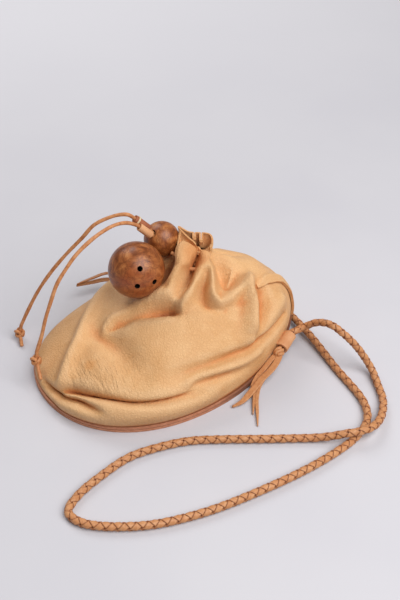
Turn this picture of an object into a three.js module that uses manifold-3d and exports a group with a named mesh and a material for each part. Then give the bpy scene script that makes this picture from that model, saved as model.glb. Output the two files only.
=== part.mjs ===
import * as THREE from 'three';
import { mergeVertices } from 'three/addons/utils/BufferGeometryUtils.js';
import Module from 'manifold-3d';

const wasm = await Module();
wasm.setup();

// Soft leather drawstring pouch, millimetres.
// Origin at the middle of the base on the floor, +X towards the strap end, +Y to the back, +Z up.

// base outline: egg-shaped, flatter at the back
const HALF_LENGTH = 113;
const HALF_FRONT = 82;
const HALF_BACK = 70;
const EGG = -0.2;
const SOLE_THICK = 2.4;
const WELT_THICK = 2.2;
const GAP = 0.3;
const WELT_WIDTH = 26;
// the strap end of the base curls up from the floor
const CURL = 13;
const CURL_FROM = 30;
const CURL_POWER = 1.6;

// pouch skin
const WALL = 2.2;
const FOOT_INSET = 1.5;
const FOOT_Z = SOLE_THICK + WELT_THICK + 2 * GAP + 0.1;
const NECK = [30, 8, 80];
const NECK_RADII = [16, 13];
const MOUTH_RADII = [15, 11.5];
const COLLAR_HEIGHT = 17.5;
const COLLAR_LEAN = [2, 4];
const NECK_V = 0.84;
const SKIN_AROUND = 62;
const SKIN_UP = 19;
const FOLD_SCALE = 0.85;
const FOLD_MIN_WIDTH = 4.2;
const LAP = 8;
const LAP_RAMP = 7;

// lace, strap and small pieces
const LACE_R = 1.5;
const STRAP_R = 3.1;
const TAB_R = 6;
const TAB_BORE = 4.1;
const TAB_LENGTH = 18;
const SLEEVE_R = 3.4;
const SLEEVE_BORE = 2.2;
const SLEEVE_LENGTH = 15;
const SLEEVE_PITCH = 5.9;
const BIG_BEAD_R = 22.5;
const SMALL_BEAD_R = 14.8;
const BIG_BEAD_AT = [-19.3, 10.7, 83];
const SMALL_BEAD_AT = [10.5, 32.9, 89.5];

// skin meridians: direction in degrees, handle up and out at the foot,
// handle out and down at the neck
const MERIDIANS = [
  { dir: 0, up: 42, out: 4, neckOut: 32, neckDrop: 8 },
  { dir: 45, up: 35, out: 4, neckOut: 28, neckDrop: 11 },
  { dir: 90, up: 28, out: 3, neckOut: 24, neckDrop: 16 },
  { dir: 135, up: 18, out: 2, neckOut: 24, neckDrop: 26 },
  { dir: 180, up: 20, out: 6, neckOut: 34, neckDrop: 30 },
  { dir: 225, up: 32, out: 9, neckOut: 34, neckDrop: 22 },
  { dir: 270, up: 40, out: 9, neckOut: 32, neckDrop: 14 },
  { dir: 315, up: 43, out: 8, neckOut: 33, neckDrop: 9 },
];

// folds of the skin, one row per point of a fold line:
// direction in degrees, share of the way up, height, half width, droop
const FOLDS = {
  lip: [[222, 0.9, 6, 6, 0], [230, 0.78, 11, 6.5, 2], [228, 0.71, 13, 7, 4], [222, 0.66, 13, 7.5, 5],
    [212, 0.62, 12, 7.5, 5], [200, 0.58, 11, 7.5, 5], [190, 0.55, 9, 7.5, 4], [182, 0.46, 2, 7, 0]],
  second: [[272, 0.86, 4, 4.5, 0], [266, 0.78, 9, 4.5, 1], [258, 0.69, 12, 4.5, 2],
    [254, 0.64, 12, 5, 4], [248, 0.61, 9, 5, 4]],
  cleft: [[244, 0.85, -3, 4, 0], [242, 0.79, -7, 4, 0], [242, 0.72, -8, 4, 0], [237, 0.68, -3, 4, 0]],
  swag: [[284, 0.79, 5, 4, 0], [281, 0.71, 11, 4, 0], [279, 0.65, 12, 4.2, 2], [279, 0.6, 12, 4.5, 4],
    [283, 0.57, 11, 4.5, 5], [298, 0.58, 10, 4.5, 2], [308, 0.6, 9, 5, 0], [320, 0.6, 4, 6, 0]],
  hollow_swag: [[282, 0.8, -4, 4, 0], [272, 0.74, -9, 4.5, 0], [270, 0.68, -8, 4.5, 0],
    [274, 0.6, -6, 5, 0], [284, 0.55, -5, 6, 0]],
  hollow_corner: [[302, 0.77, -4, 4, 0], [299, 0.7, -10, 5, 0], [296, 0.65, -9, 4.5, 0]],
  corner: [[317, 0.6, 4, 6, 0], [308, 0.53, 9, 5.5, 0], [303, 0.45, 9, 6, 0], [298, 0.38, 7, 7, 0],
    [294, 0.32, 2, 8, 0]],
  hollow_side: [[318, 0.46, -5, 5, 0], [312, 0.39, -7, 6, 0], [304, 0.32, -6, 6, 0], [298, 0.28, -2, 6, 0]],
  nest: [[168, 0.83, -3, 6, 0], [182, 0.78, -6, 7, 0], [181, 0.71, -5, 8, 0], [162, 0.62, -3, 9, 0]],
  under_lip: [[188, 0.48, -4, 7, 0], [196, 0.54, -7, 6.5, 0], [206, 0.59, -9, 6, 0], [223, 0.61, -11, 5.5, 0],
    [238, 0.61, -11, 5.5, 0], [251, 0.59, -6, 6, 0]],
  left_ridge: [[119, 0.38, 6, 12, 0], [137, 0.41, 6, 10, 0], [156, 0.42, 6, 7, 0], [178, 0.38, 6, 6, 0],
    [187, 0.32, 6, 6, 0], [196, 0.22, 5, 6, 0], [196, 0.16, 2, 6, 0]],
  soft_dip: [[175, 0.43, -3, 9, 0], [196, 0.45, -7, 10, 0], [218, 0.41, -7, 12, 0], [235, 0.34, -3, 12, 0]],
  crease: [[196, 0.13, -3, 4, 0], [204, 0.17, -7, 4, 0], [211, 0.2, -9, 4, 0], [224, 0.21, -10, 4, 0],
    [238, 0.2, -10, 4, 0], [250, 0.18, -8, 4, 0], [260, 0.17, -5, 4, 0], [270, 0.14, -1, 4, 0]],
  brow: [[198, 0.18, 3, 7, 3], [212, 0.24, 5, 7, 6], [225, 0.25, 6, 7, 7], [237, 0.24, 6, 7, 7],
    [248, 0.23, 5, 7, 5], [260, 0.23, 3, 7, 3]],
  roll: [[204, 0.1, 3, 8, 0], [224, 0.12, 5, 10, 0], [241, 0.12, 5, 10, 0], [258, 0.1, 4, 10, 0],
    [273, 0.1, 3, 9, 0]],
  groove: [[324, 0.17, -3, 4, 0], [313, 0.19, -6, 4, 0], [304, 0.21, -7, 4, 0], [294, 0.23, -6, 4, 0],
    [286, 0.26, -6, 4, 0], [274, 0.28, -5, 4.5, 0], [262, 0.29, -4, 5, 0], [250, 0.29, -1, 5, 0]],
  lower_groove: [[290, 0.13, -1, 4, 0], [279, 0.17, -5, 4, 0], [268, 0.2, -5, 4.5, 0], [258, 0.21, -1, 5, 0]],
  flank: [[326, 0.29, 4, 7, 0], [314, 0.31, 5, 7, 0], [304, 0.31, 5, 7, 0], [299, 0.29, 2, 7, 0]],
  pleat_front: [[225, 1, 1, 6, 0], [226, 0.93, 5, 6.5, 0], [227, 0.84, 6, 6.5, 0]],
  gap_front: [[250, 1, -3, 4, 0], [250, 0.92, -4, 4, 0], [247, 0.84, -4, 4, 0]],
  pleat_right: [[276, 1, 1, 5, 0], [275, 0.93, 4.5, 5, 0], [273, 0.86, 5, 5, 0]],
  gap_right: [[306, 1, -3, 4, 0], [306, 0.92, -4, 4, 0], [307, 0.84, -4, 4, 0], [306, 0.78, -3, 4, 0]],
  pleat_end: [[343, 1, 3, 4, 0], [342, 0.92, 4, 4, 0], [340, 0.82, 4, 5, 0], [336, 0.72, 3, 7, 0],
    [332, 0.62, 0, 9, 0]],
  gap_left: [[190, 1, -3, 4, 0], [192, 0.92, -4, 4, 0], [192, 0.84, -4, 4, 0], [188, 0.78, -4, 5, 0]],
  back_pleat_1: [[35, 1, 4, 4, 0], [34, 0.88, 5, 4.5, 0], [33, 0.68, 4, 8, 0], [31, 0.48, 0, 10, 0]],
  back_pleat_2: [[75, 1, 4, 4, 0], [75, 0.88, 5, 4.5, 0], [73, 0.66, 5, 8, 0], [70, 0.42, 0, 10, 0]],
  back_pleat_3: [[113, 1, 4, 4, 0], [113, 0.88, 5, 4.5, 0], [114, 0.66, 5, 8, 0], [116, 0.42, 0, 10, 0]],
  back_pleat_4: [[155, 1, 3, 4, 0], [155, 0.88, 4, 4.5, 0], [155, 0.7, 3, 7, 0], [155, 0.6, 0, 9, 0]],
  back_dip_1: [[10, 1, -4, 4, 0], [10, 0.85, -5, 4, 0], [8, 0.66, -3, 6, 0], [7, 0.52, 0, 7, 0]],
  back_dip_2: [[55, 1, -4, 4, 0], [55, 0.85, -5, 4, 0], [54, 0.66, -3, 6, 0], [52, 0.52, 0, 7, 0]],
  back_dip_3: [[94, 1, -4, 4, 0], [94, 0.85, -5, 4, 0], [94, 0.66, -3, 6, 0], [94, 0.5, 0, 7, 0]],
  back_dip_4: [[134, 1, -4, 4, 0], [134, 0.85, -5, 4, 0], [134, 0.66, -3, 6, 0], [134, 0.5, 0, 7, 0]],
};

// line of the lapped seam: share of the way up, direction in degrees
const SEAM = [
  { up: 0, dir: 342 },
  { up: 0.27, dir: 338 },
  { up: 0.4, dir: 331 },
  { up: 0.52, dir: 316 },
  { up: 0.7, dir: 312 },
  { up: 1, dir: 318 },
];

const STRAP_ROUTE = [
  [106.2, -43.6, 20], [113.4, -51, 28.5], [118, -65.5, 36], [123, -75.6, 33.5],
  [130.4, -83.4, 25], [137, -90.2, 14], [140, -98.5, 6], [136.8, -112.8, 3.3], [131.3, -128.3, 3.3],
  [121, -142, 5], [110, -150.5, 8], [102, -153.4, 9.8], [92, -153.2, 10.2], [83, -150.4, 9.4],
  [73.5, -146.1, 6.4], [62.7, -140.7, 4], [50, -135, 3.3], [24.6, -124.4, 3.3], [-3, -112.6, 3.3],
  [-24, -104.8, 3.3], [-47, -101, 3.3], [-70.6, -100.8, 3.3], [-92, -107.3, 3.3], [-117, -119, 3.3],
  [-126.3, -129, 3.3], [-120, -141.5, 3.3], [-85, -159.7, 3.3], [-44, -167.2, 3.3], [2.8, -167, 3.3],
  [54.7, -161.7, 3.3], [91.5, -152.1, 3.3], [108.5, -141, 3.3], [116.3, -124, 3.3], [116, -82, 3.4],
  [114.8, -41, 6], [111.4, -7.6, 6.5], [104, 30, 4.2], [90, 50, 3.4], [70, 62, 3.4], [52, 66, 6.8],
];
const TAIL_UPPER_ROUTE = [
  [-15.6, 35.2, 117.2], [-21.4, 36.6, 118.3], [-30.4, 39.6, 116.2], [-41.2, 43.1, 110.3], [-51.1, 46.4, 98.5],
  [-64.5, 50.4, 83.8], [-77.6, 54.2, 67.5], [-89.6, 57.4, 49.7], [-100, 60, 30.5], [-106.6, 61, 17.6],
];
const TAIL_LOWER_ROUTE = [
  [-17.6, 30.2, 113.8], [-29.2, 26.3, 117.6], [-40.9, 23.1, 116.5], [-52.7, 19.9, 112.7], [-64.7, 16.6, 106.3],
  [-74.2, 14, 97.8], [-83.1, 11.6, 87.9], [-89.9, 9.7, 74.8], [-95.9, 8.1, 61.9], [-102.6, 6.2, 44],
];
const KNOT_UPPER = { at: [-110.5, 61.3, 6.9], axis: [-0.3, 0, -0.95], tip: [-112.3, 50, 1.8] };
const KNOT_LOWER = { at: [-109.7, 4.3, 24.6], axis: [-0.25, -0.15, -0.95], tip: [-110.6, -7.9, 14.6] };

const SLEEVE_AT = [-1.6, 23.8, 102];
const SLEEVE_AXIS = [-0.686, 0.455, 0.567];
const SLEEVE_SIDE = [0.727, 0.464, 0.508];
const BORE_IN = [17.8, 24, 80];
const BORE_OUT = [4.2, 24.1, 99];
const BORE_R = 3.9;
const LEG_PITCH = 1.65;

const TAB_RIGHT_AT = [89.6, -50.6, 16.2];
const TAB_RIGHT_AXIS = [0.852, 0.52, 0.066];
const TAB_BACK_AT = [27.8, 69.7, 8.6];
const TAB_BACK_AXIS = [0.972, -0.236, 0];

// tassel strips: width, thickness, route from the knot to the tip
const TASSEL_RIGHT = [
  { width: 5.5, thick: 1.8, route: [[74, -60, 14], [60, -66, 11.5], [42, -75, 7], [23.5, -83.6, 2.2]] },
  { width: 3, thick: 1.8, route: [[74, -61, 13], [60, -72, 9], [46, -84, 5], [32.8, -98.3, 1.5]] },
  { width: 2.6, thick: 1.8, route: [[75, -61.5, 12.5], [58, -82, 6], [44, -98, 2.6], [30.5, -109.7, 1.3]] },
];
const TASSEL_BACK = [
  { width: 5, thick: 1.8, route: [[10, 75.4, 9.4], [-6, 79, 14], [-26, 84, 19], [-49, 87.5, 19]] },
  { width: 3, thick: 1.8, route: [[10, 76, 9], [-4, 82, 11], [-20, 89, 13], [-38, 93, 13]] },
];

const V = (a) => new THREE.Vector3(a[0], a[1], a[2]);
const clamp01 = (x) => Math.min(1, Math.max(0, x));
const smooth = (x) => clamp01(x) ** 2 * (3 - 2 * clamp01(x));
const curl = (x) => CURL * clamp01((x - CURL_FROM) / (HALF_LENGTH - CURL_FROM)) ** CURL_POWER;

function material(color, roughness) {
  return new THREE.MeshStandardMaterial({ color, roughness, metalness: 0 });
}

function catmull(p0, p1, p2, p3, k) {
  return 0.5 * (2 * p1 + (p2 - p0) * k + (2 * p0 - 5 * p1 + 4 * p2 - p3) * k * k
    + (3 * p1 - p0 - 3 * p2 + p3) * k * k * k);
}

function outline(t, inset) {
  const half = Math.sin(t) > 0 ? HALF_BACK : HALF_FRONT;
  return [
    (HALF_LENGTH - inset) * Math.cos(t),
    (half - inset) * (1 + EGG * Math.cos(t)) * Math.sin(t),
  ];
}

function meridian(t) {
  const n = MERIDIANS.length;
  const f = ((t / (2 * Math.PI)) * n + n) % n;
  const i = Math.floor(f);
  const row = (k) => MERIDIANS[(i + k + n) % n];
  const value = (key) => catmull(row(-1)[key], row(0)[key], row(1)[key], row(2)[key], f - i);
  return { up: value('up'), out: value('out'), neckOut: value('neckOut'), neckDrop: value('neckDrop') };
}

function bezier(a, b, c, d, k) {
  const j = 1 - k;
  return a.clone().multiplyScalar(j ** 3)
    .addScaledVector(b, 3 * j * j * k)
    .addScaledVector(c, 3 * j * k * k)
    .addScaledVector(d, k ** 3);
}

// smooth skin without folds
function skin(t, v) {
  const m = meridian(t);
  const [fx, fy] = outline(t, FOOT_INSET);
  const foot = new THREE.Vector3(fx, fy, FOOT_Z + curl(fx));
  const around = new THREE.Vector3(Math.cos(t), Math.sin(t), 0);
  const neck = V(NECK).add(new THREE.Vector3(NECK_RADII[0] * around.x, NECK_RADII[1] * around.y, 0));
  const out = new THREE.Vector3(fx - neck.x, fy - neck.y, 0).normalize();
  const low = foot.clone().addScaledVector(out, m.out).add(new THREE.Vector3(0, 0, m.up));
  const high = neck.clone().addScaledVector(out, m.neckOut).sub(new THREE.Vector3(0, 0, m.neckDrop));
  if (v < NECK_V) return bezier(foot, low, high, neck, v / NECK_V);
  const tip = V(NECK).add(new THREE.Vector3(
    MOUTH_RADII[0] * around.x + COLLAR_LEAN[0],
    MOUTH_RADII[1] * around.y + COLLAR_LEAN[1],
    COLLAR_HEIGHT,
  ));
  const rise = neck.clone().addScaledVector(neck.clone().sub(high), 0.22);
  const under = tip.clone().addScaledVector(around, 1).sub(new THREE.Vector3(0, 0, 7));
  return bezier(neck, rise, under, tip, (v - NECK_V) / (1 - NECK_V));
}

function skinNormal(t, v) {
  const e = 0.01;
  const v0 = Math.max(0, v - e);
  const v1 = Math.min(1, v + e);
  const along = skin(t + e, v).sub(skin(t - e, v));
  const up = skin(t, v1).sub(skin(t, v0));
  return along.cross(up).normalize();
}

// fold lines sampled on the smooth skin
const foldLines = Object.values(FOLDS).map((rows) => {
  const line = [];
  const row = (i) => rows[Math.min(rows.length - 1, Math.max(0, i))];
  for (let i = 0; i + 1 < rows.length; i += 1) {
    for (let s = 0; s < 12; s += 1) {
      const at = (c) => catmull(row(i - 1)[c], row(i)[c], row(i + 1)[c], row(i + 2)[c], s / 12);
      line.push({
        point: skin(THREE.MathUtils.degToRad(at(0)), at(1)),
        height: at(2) * FOLD_SCALE,
        width: Math.max(FOLD_MIN_WIDTH, at(3)),
        droop: at(4) * FOLD_SCALE,
      });
    }
  }
  return line;
});

function foldedSkin(t, v, lift) {
  const base = skin(t, v);
  const normal = skinNormal(t, v);
  let height = lift;
  let droop = 0;
  for (const line of foldLines) {
    let near = line[0];
    let best = Infinity;
    for (const s of line) {
      const d = s.point.distanceToSquared(base);
      if (d < best) {
        best = d;
        near = s;
      }
    }
    const g = Math.exp(-best / near.width ** 2);
    height += near.height * g;
    droop += near.droop * g;
  }
  const point = base.addScaledVector(normal, height);
  point.z -= droop * smooth(v / 0.12);
  return { point, normal };
}

function seamDir(v) {
  let i = 0;
  while (i + 2 < SEAM.length && v > SEAM[i + 1].up) i += 1;
  const a = SEAM[i];
  const b = SEAM[i + 1];
  const k = smooth((v - a.up) / (b.up - a.up)) * 0.4 + 0.6 * clamp01((v - a.up) / (b.up - a.up));
  return THREE.MathUtils.degToRad(a.dir + (b.dir - a.dir) * k);
}

// closed body from a grid of outer points and the same grid shifted inwards
function walledGrid(outer, inner) {
  const nI = outer.length - 1;
  const nJ = outer[0].length - 1;
  const positions = [];
  const index = [];
  for (const grid of [outer, inner]) {
    for (const column of grid) {
      for (const p of column) positions.push(p.x, p.y, p.z);
    }
  }
  const side = (nI + 1) * (nJ + 1);
  const o = (i, j) => i * (nJ + 1) + j;
  const n = (i, j) => side + i * (nJ + 1) + j;
  const quad = (a, b, c, d) => index.push(a, b, c, a, c, d);
  for (let i = 0; i < nI; i += 1) {
    for (let j = 0; j < nJ; j += 1) {
      quad(o(i, j), o(i + 1, j), o(i + 1, j + 1), o(i, j + 1));
      quad(n(i, j), n(i, j + 1), n(i + 1, j + 1), n(i + 1, j));
    }
    quad(o(i + 1, 0), o(i, 0), n(i, 0), n(i + 1, 0));
    quad(o(i, nJ), o(i + 1, nJ), n(i + 1, nJ), n(i, nJ));
  }
  for (let j = 0; j < nJ; j += 1) {
    quad(o(0, j), o(0, j + 1), n(0, j + 1), n(0, j));
    quad(o(nI, j + 1), o(nI, j), n(nI, j), n(nI, j + 1));
  }
  const geometry = new THREE.BufferGeometry();
  geometry.setAttribute('position', new THREE.Float32BufferAttribute(positions, 3));
  geometry.setIndex(index);
  return geometry;
}

function shellGeometry() {
  const outer = [];
  const inner = [];
  for (let i = 0; i <= SKIN_AROUND; i += 1) {
    const outerColumn = [];
    const innerColumn = [];
    for (let j = 0; j <= SKIN_UP; j += 1) {
      const v = j / SKIN_UP;
      const radius = 92 + (15 - 92) * smooth(v / 0.9);
      const lap = LAP / radius;
      const ramp = LAP_RAMP / radius;
      const seam = seamDir(v);
      // the first columns follow the lap closely, the rest go round evenly
      const lapColumns = 4;
      const rest = 2 * Math.PI - ramp;
      const t = i <= lapColumns
        ? seam - lap + ((lap + ramp) * i) / lapColumns
        : seam + ramp + (rest * (i - lapColumns)) / (SKIN_AROUND - lapColumns);
      const lift = (WALL + 0.6) * (1 - smooth((t - seam - 0.12 * ramp) / ramp));
      const { point, normal } = foldedSkin(t, v, lift);
      const inside = point.clone().addScaledVector(normal, -WALL);
      // the foot stands on the welt
      for (const p of [point, inside]) {
        const floor = FOOT_Z + curl(p.x) + 1.2 * j;
        p.z = j ? Math.max(p.z, floor) : floor;
      }
      outerColumn.push(point);
      innerColumn.push(inside);
    }
    outer.push(outerColumn);
    inner.push(innerColumn);
  }
  return walledGrid(outer, inner);
}

// full base plate: straight rows across, so the part that lies on the floor stays flat
function soleGeometry() {
  const rows = 28;
  const positions = [];
  const index = [];
  const quad = (a, b, c, d) => index.push(a, b, c, a, c, d);
  for (let k = 1; k < rows; k += 1) {
    const t = Math.PI * (1 - k / rows);
    const [x, back] = outline(t, 0);
    const [, front] = outline(-t, 0);
    for (const z of [curl(x), curl(x) + SOLE_THICK]) positions.push(x, front, z, x, back, z);
  }
  const last = 4 * (rows - 2);
  const left = last + 4;
  const right = left + 2;
  for (const x of [-HALF_LENGTH, HALF_LENGTH]) {
    positions.push(x, 0, curl(x), x, 0, curl(x) + SOLE_THICK);
  }
  for (let a = 0; a < last; a += 4) {
    const b = a + 4;
    quad(a + 2, b + 2, b + 3, a + 3);
    quad(a, a + 1, b + 1, b);
    quad(a, b, b + 2, a + 2);
    quad(a + 1, a + 3, b + 3, b + 1);
  }
  index.push(left + 1, 2, 3, left, 1, 0);
  quad(left, 0, 2, left + 1);
  quad(left, left + 1, 3, 1);
  index.push(last + 2, right + 1, last + 3, last, last + 1, right);
  quad(last, right, right + 1, last + 2);
  quad(last + 1, last + 3, right + 1, right);
  const geometry = new THREE.BufferGeometry();
  geometry.setAttribute('position', new THREE.Float32BufferAttribute(positions, 3));
  geometry.setIndex(index);
  return geometry;
}

// ring-shaped layer along the outline, following the curl of the strap end
function weltGeometry(z0, z1) {
  const around = 48;
  const rings = [WELT_WIDTH, 14, 6, 0];
  const count = rings.length;
  const positions = [];
  const index = [];
  const quad = (a, b, c, d) => index.push(a, b, c, a, c, d);
  for (const z of [z0, z1]) {
    for (const inset of rings) {
      for (let i = 0; i < around; i += 1) {
        const [x, y] = outline((2 * Math.PI * i) / around, inset);
        positions.push(x, y, z + curl(x));
      }
    }
  }
  const at = (level, ring, i) => (level * count + ring) * around + (i % around);
  for (let i = 0; i < around; i += 1) {
    for (let r = 0; r + 1 < count; r += 1) {
      quad(at(1, r, i), at(1, r + 1, i), at(1, r + 1, i + 1), at(1, r, i + 1));
      quad(at(0, r, i), at(0, r, i + 1), at(0, r + 1, i + 1), at(0, r + 1, i));
    }
    quad(at(0, count - 1, i), at(0, count - 1, i + 1), at(1, count - 1, i + 1), at(1, count - 1, i));
    quad(at(0, 0, i + 1), at(0, 0, i), at(1, 0, i), at(1, 0, i + 1));
  }
  const geometry = new THREE.BufferGeometry();
  geometry.setAttribute('position', new THREE.Float32BufferAttribute(positions, 3));
  geometry.setIndex(index);
  return geometry;
}

function weld(geometry) {
  const g = geometry.clone();
  g.deleteAttribute('normal');
  g.deleteAttribute('uv');
  return mergeVertices(g, 1e-4);
}

function toSolid(geometry) {
  const g = weld(geometry);
  return new wasm.Manifold(new wasm.Mesh({
    numProp: 3,
    vertProperties: new Float32Array(g.attributes.position.array),
    triVerts: new Uint32Array(g.index.array),
  }));
}

function fromSolid(solid) {
  const mesh = solid.getMesh();
  const geometry = new THREE.BufferGeometry();
  const positions = [];
  for (let i = 0; i < mesh.numVert; i += 1) {
    for (let c = 0; c < 3; c += 1) positions.push(mesh.vertProperties[i * mesh.numProp + c]);
  }
  geometry.setAttribute('position', new THREE.Float32BufferAttribute(positions, 3));
  geometry.setIndex(Array.from(mesh.triVerts));
  return geometry;
}

function circleShape(radius, sides) {
  const shape = new THREE.Shape();
  for (let i = 0; i < sides; i += 1) {
    const a = (2 * Math.PI * i) / sides;
    if (i) shape.lineTo(radius * Math.cos(a), radius * Math.sin(a));
    else shape.moveTo(radius * Math.cos(a), radius * Math.sin(a));
  }
  shape.closePath();
  return shape;
}

function sweep(points, radius, sides, steps) {
  const path = new THREE.CatmullRomCurve3(points, false, 'centripetal');
  return new THREE.ExtrudeGeometry(circleShape(radius, sides), { steps, extrudePath: path });
}

function sleeve(at, axis, radius, bore, length, sides) {
  const shape = circleShape(radius, sides);
  if (bore) shape.holes.push(circleShape(bore, sides));
  const geometry = new THREE.ExtrudeGeometry(shape, { depth: length, bevelEnabled: false });
  const turn = new THREE.Quaternion().setFromUnitVectors(new THREE.Vector3(0, 0, 1), V(axis).normalize());
  geometry.applyQuaternion(turn);
  geometry.translate(at[0], at[1], at[2]);
  return geometry;
}

function ball(at, radius, detailAround, detailUp) {
  const geometry = new THREE.SphereGeometry(radius, detailAround, detailUp);
  geometry.translate(at[0], at[1], at[2]);
  return geometry;
}

// hole drilled towards the middle of a ball from the side given by a direction
function drill(centre, dir, ballRadius, holeRadius, depth) {
  const d = V(dir).normalize();
  const start = V(centre).addScaledVector(d, ballRadius - depth);
  return toSolid(sleeve(start.toArray(), d.toArray(), holeRadius, 0, depth + 4, 10));
}

// flat strip along a route, width level, thickness across
function strip(route, width, thick) {
  const path = new THREE.CatmullRomCurve3(route.map(V), false, 'centripetal');
  const steps = 7;
  const outer = [];
  const inner = [];
  for (const sign of [-1, 1]) {
    const upper = [];
    const lower = [];
    for (let k = 0; k <= steps; k += 1) {
      const p = path.getPoint(k / steps);
      const along = path.getTangent(k / steps);
      const level = new THREE.Vector3(-along.y, along.x, 0).normalize();
      const up = along.clone().cross(level).normalize();
      const shrink = 1 - 0.5 * (k / steps) ** 3;
      const edge = p.clone().addScaledVector(level, (-sign * width * shrink) / 2);
      upper.push(edge.clone().addScaledVector(up, thick / 2));
      lower.push(edge.clone().addScaledVector(up, -thick / 2));
    }
    outer.push(upper);
    inner.push(lower);
  }
  const solid = walledGrid(outer, inner);
  return toSolid(solid);
}

// compact overhand knot: a barrel, a ring round it and a short tip
function laceKnot(knot) {
  const axis = V(knot.axis).normalize();
  const at = V(knot.at);
  const start = at.clone().addScaledVector(axis, -4.4);
  let solid = toSolid(sleeve(start.toArray(), axis.toArray(), 3.6, 0, 8.8, 8));
  const ring = new THREE.TorusGeometry(3.7, 1.5, 6, 10);
  ring.applyQuaternion(new THREE.Quaternion().setFromUnitVectors(new THREE.Vector3(0, 0, 1), axis));
  ring.translate(at.x, at.y, at.z);
  solid = solid.add(toSolid(ring));
  const tip = V(knot.tip);
  const mid = at.clone().lerp(tip, 0.5);
  return solid.add(toSolid(sweep([at, mid, tip], LACE_R, 8, 3)));
}

function tassel(head, axis, strips) {
  const a = V(axis).normalize();
  const start = V(head).addScaledVector(a, -4.5);
  let solid = toSolid(sleeve(start.toArray(), a.toArray(), 4.6, 0, 9, 10));
  const ring = new THREE.TorusGeometry(4.2, 1.5, 6, 12);
  ring.applyQuaternion(new THREE.Quaternion().setFromUnitVectors(new THREE.Vector3(0, 0, 1), a));
  ring.translate(head[0], head[1], head[2]);
  solid = solid.add(toSolid(ring));
  for (const row of strips) {
    const route = [head, ...row.route];
    solid = solid.add(strip(route, row.width, row.thick));
  }
  return solid;
}

const group = new THREE.Group();
group.name = 'dumpling_bag';
function addNode(name, geometry, color, roughness) {
  const g = weld(geometry);
  g.computeVertexNormals();
  const mesh = new THREE.Mesh(g, material(color, roughness));
  mesh.name = name;
  group.add(mesh);
}

// drawcord: ring in the neck, two legs through the skin and the bore to the sleeves
const boreIn = V(BORE_IN);
const boreOut = V(BORE_OUT);
const boreAxis = boreOut.clone().sub(boreIn).normalize();
const sleeveAxis = V(SLEEVE_AXIS).normalize();
const sleeveSide = V(SLEEVE_SIDE);
sleeveSide.addScaledVector(sleeveAxis, -sleeveSide.dot(sleeveAxis)).normalize();
const legSide = sleeveSide.clone().addScaledVector(boreAxis, -sleeveSide.dot(boreAxis)).normalize();
const sleeveFront = V(SLEEVE_AT);
const sleeveRear = sleeveFront.clone().addScaledVector(sleeveSide, SLEEVE_PITCH);
const RING_AT = [31.5, 9.5];
const RING_R = 8;
const RING_Z = 78;
const ringPoint = (deg) => {
  const a = THREE.MathUtils.degToRad(deg);
  return new THREE.Vector3(RING_AT[0] + RING_R * Math.cos(a), RING_AT[1] + RING_R * Math.sin(a), RING_Z);
};
// the bore holds the two legs side by side, from where they enter to where they leave
const legs = [-LEG_PITCH, LEG_PITCH].map((side) => [0, 0.35, 0.7, 1].map(
  (k) => boreIn.clone().lerp(boreOut, k).addScaledVector(legSide, side),
));
const ringStart = 193;
const ringEnd = 61;
const ringPoints = [];
for (let k = 0; k <= 9; k += 1) ringPoints.push(ringPoint(ringStart + ((360 + ringEnd - ringStart) * k) / 9));
const loopRoute = [
  sleeveFront.clone().addScaledVector(sleeveAxis, 5),
  sleeveFront.clone().addScaledVector(sleeveAxis, 0.5),
  ...legs[0].slice().reverse(),
  ...ringPoints,
  ...legs[1],
  sleeveRear.clone().addScaledVector(sleeveAxis, 0.5),
  sleeveRear.clone().addScaledVector(sleeveAxis, 5),
];

const cut = (from, to, radius) => {
  const d = to.clone().sub(from);
  return toSolid(sleeve(from.toArray(), d.clone().normalize().toArray(), radius, 0, d.length(), 12));
};

// base
addNode('base_sole', soleGeometry(), 0x7a4a2a, 0.8);
addNode('base_welt', weltGeometry(SOLE_THICK + GAP, SOLE_THICK + GAP + WELT_THICK), 0x6e4226, 0.8);

// pouch skin with the punched holes of the drawcord
let shell = toSolid(shellGeometry());
const LOOP_STEPS = 34;
shell = shell.subtract(toSolid(sweep(loopRoute, LACE_R + 0.4, 8, LOOP_STEPS)));
addNode('shell', fromSolid(shell), 0xc98f5a, 0.65);

// beads
let bigBead = toSolid(ball(BIG_BEAD_AT, BIG_BEAD_R, 24, 14));
const BIG_HOLES = [[-0.13, -0.77, 0.63], [-0.32, -0.94, 0.06], [0.31, -0.95, 0.05]];
for (const dir of BIG_HOLES) bigBead = bigBead.subtract(drill(BIG_BEAD_AT, dir, BIG_BEAD_R, 2, 12));
const tieDir = V(SMALL_BEAD_AT).sub(V(BIG_BEAD_AT)).normalize();
bigBead = bigBead.subtract(drill(BIG_BEAD_AT, tieDir.toArray(), BIG_BEAD_R, 1.9, 9));
addNode('big_bead', fromSolid(bigBead), 0x8a4a2a, 0.45);

let smallBead = toSolid(ball(SMALL_BEAD_AT, SMALL_BEAD_R, 20, 12));
const boreFrom = boreIn.clone().addScaledVector(boreAxis, -8);
const boreTo = boreOut.clone().addScaledVector(boreAxis, 8);
smallBead = smallBead.subtract(cut(boreFrom, boreTo, BORE_R));
smallBead = smallBead.subtract(drill(SMALL_BEAD_AT, tieDir.clone().negate().toArray(), SMALL_BEAD_R, 1.9, 7));
addNode('small_bead', fromSolid(smallBead), 0x8a4a2a, 0.45);

const tieFrom = V(BIG_BEAD_AT).addScaledVector(tieDir, BIG_BEAD_R - 8);
const tieTo = V(SMALL_BEAD_AT).addScaledVector(tieDir, -(SMALL_BEAD_R - 6));
addNode('bead_tie', sweep([tieFrom, tieFrom.clone().lerp(tieTo, 0.5), tieTo], LACE_R, 8, 3), 0x9a6238, 0.7);

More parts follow.
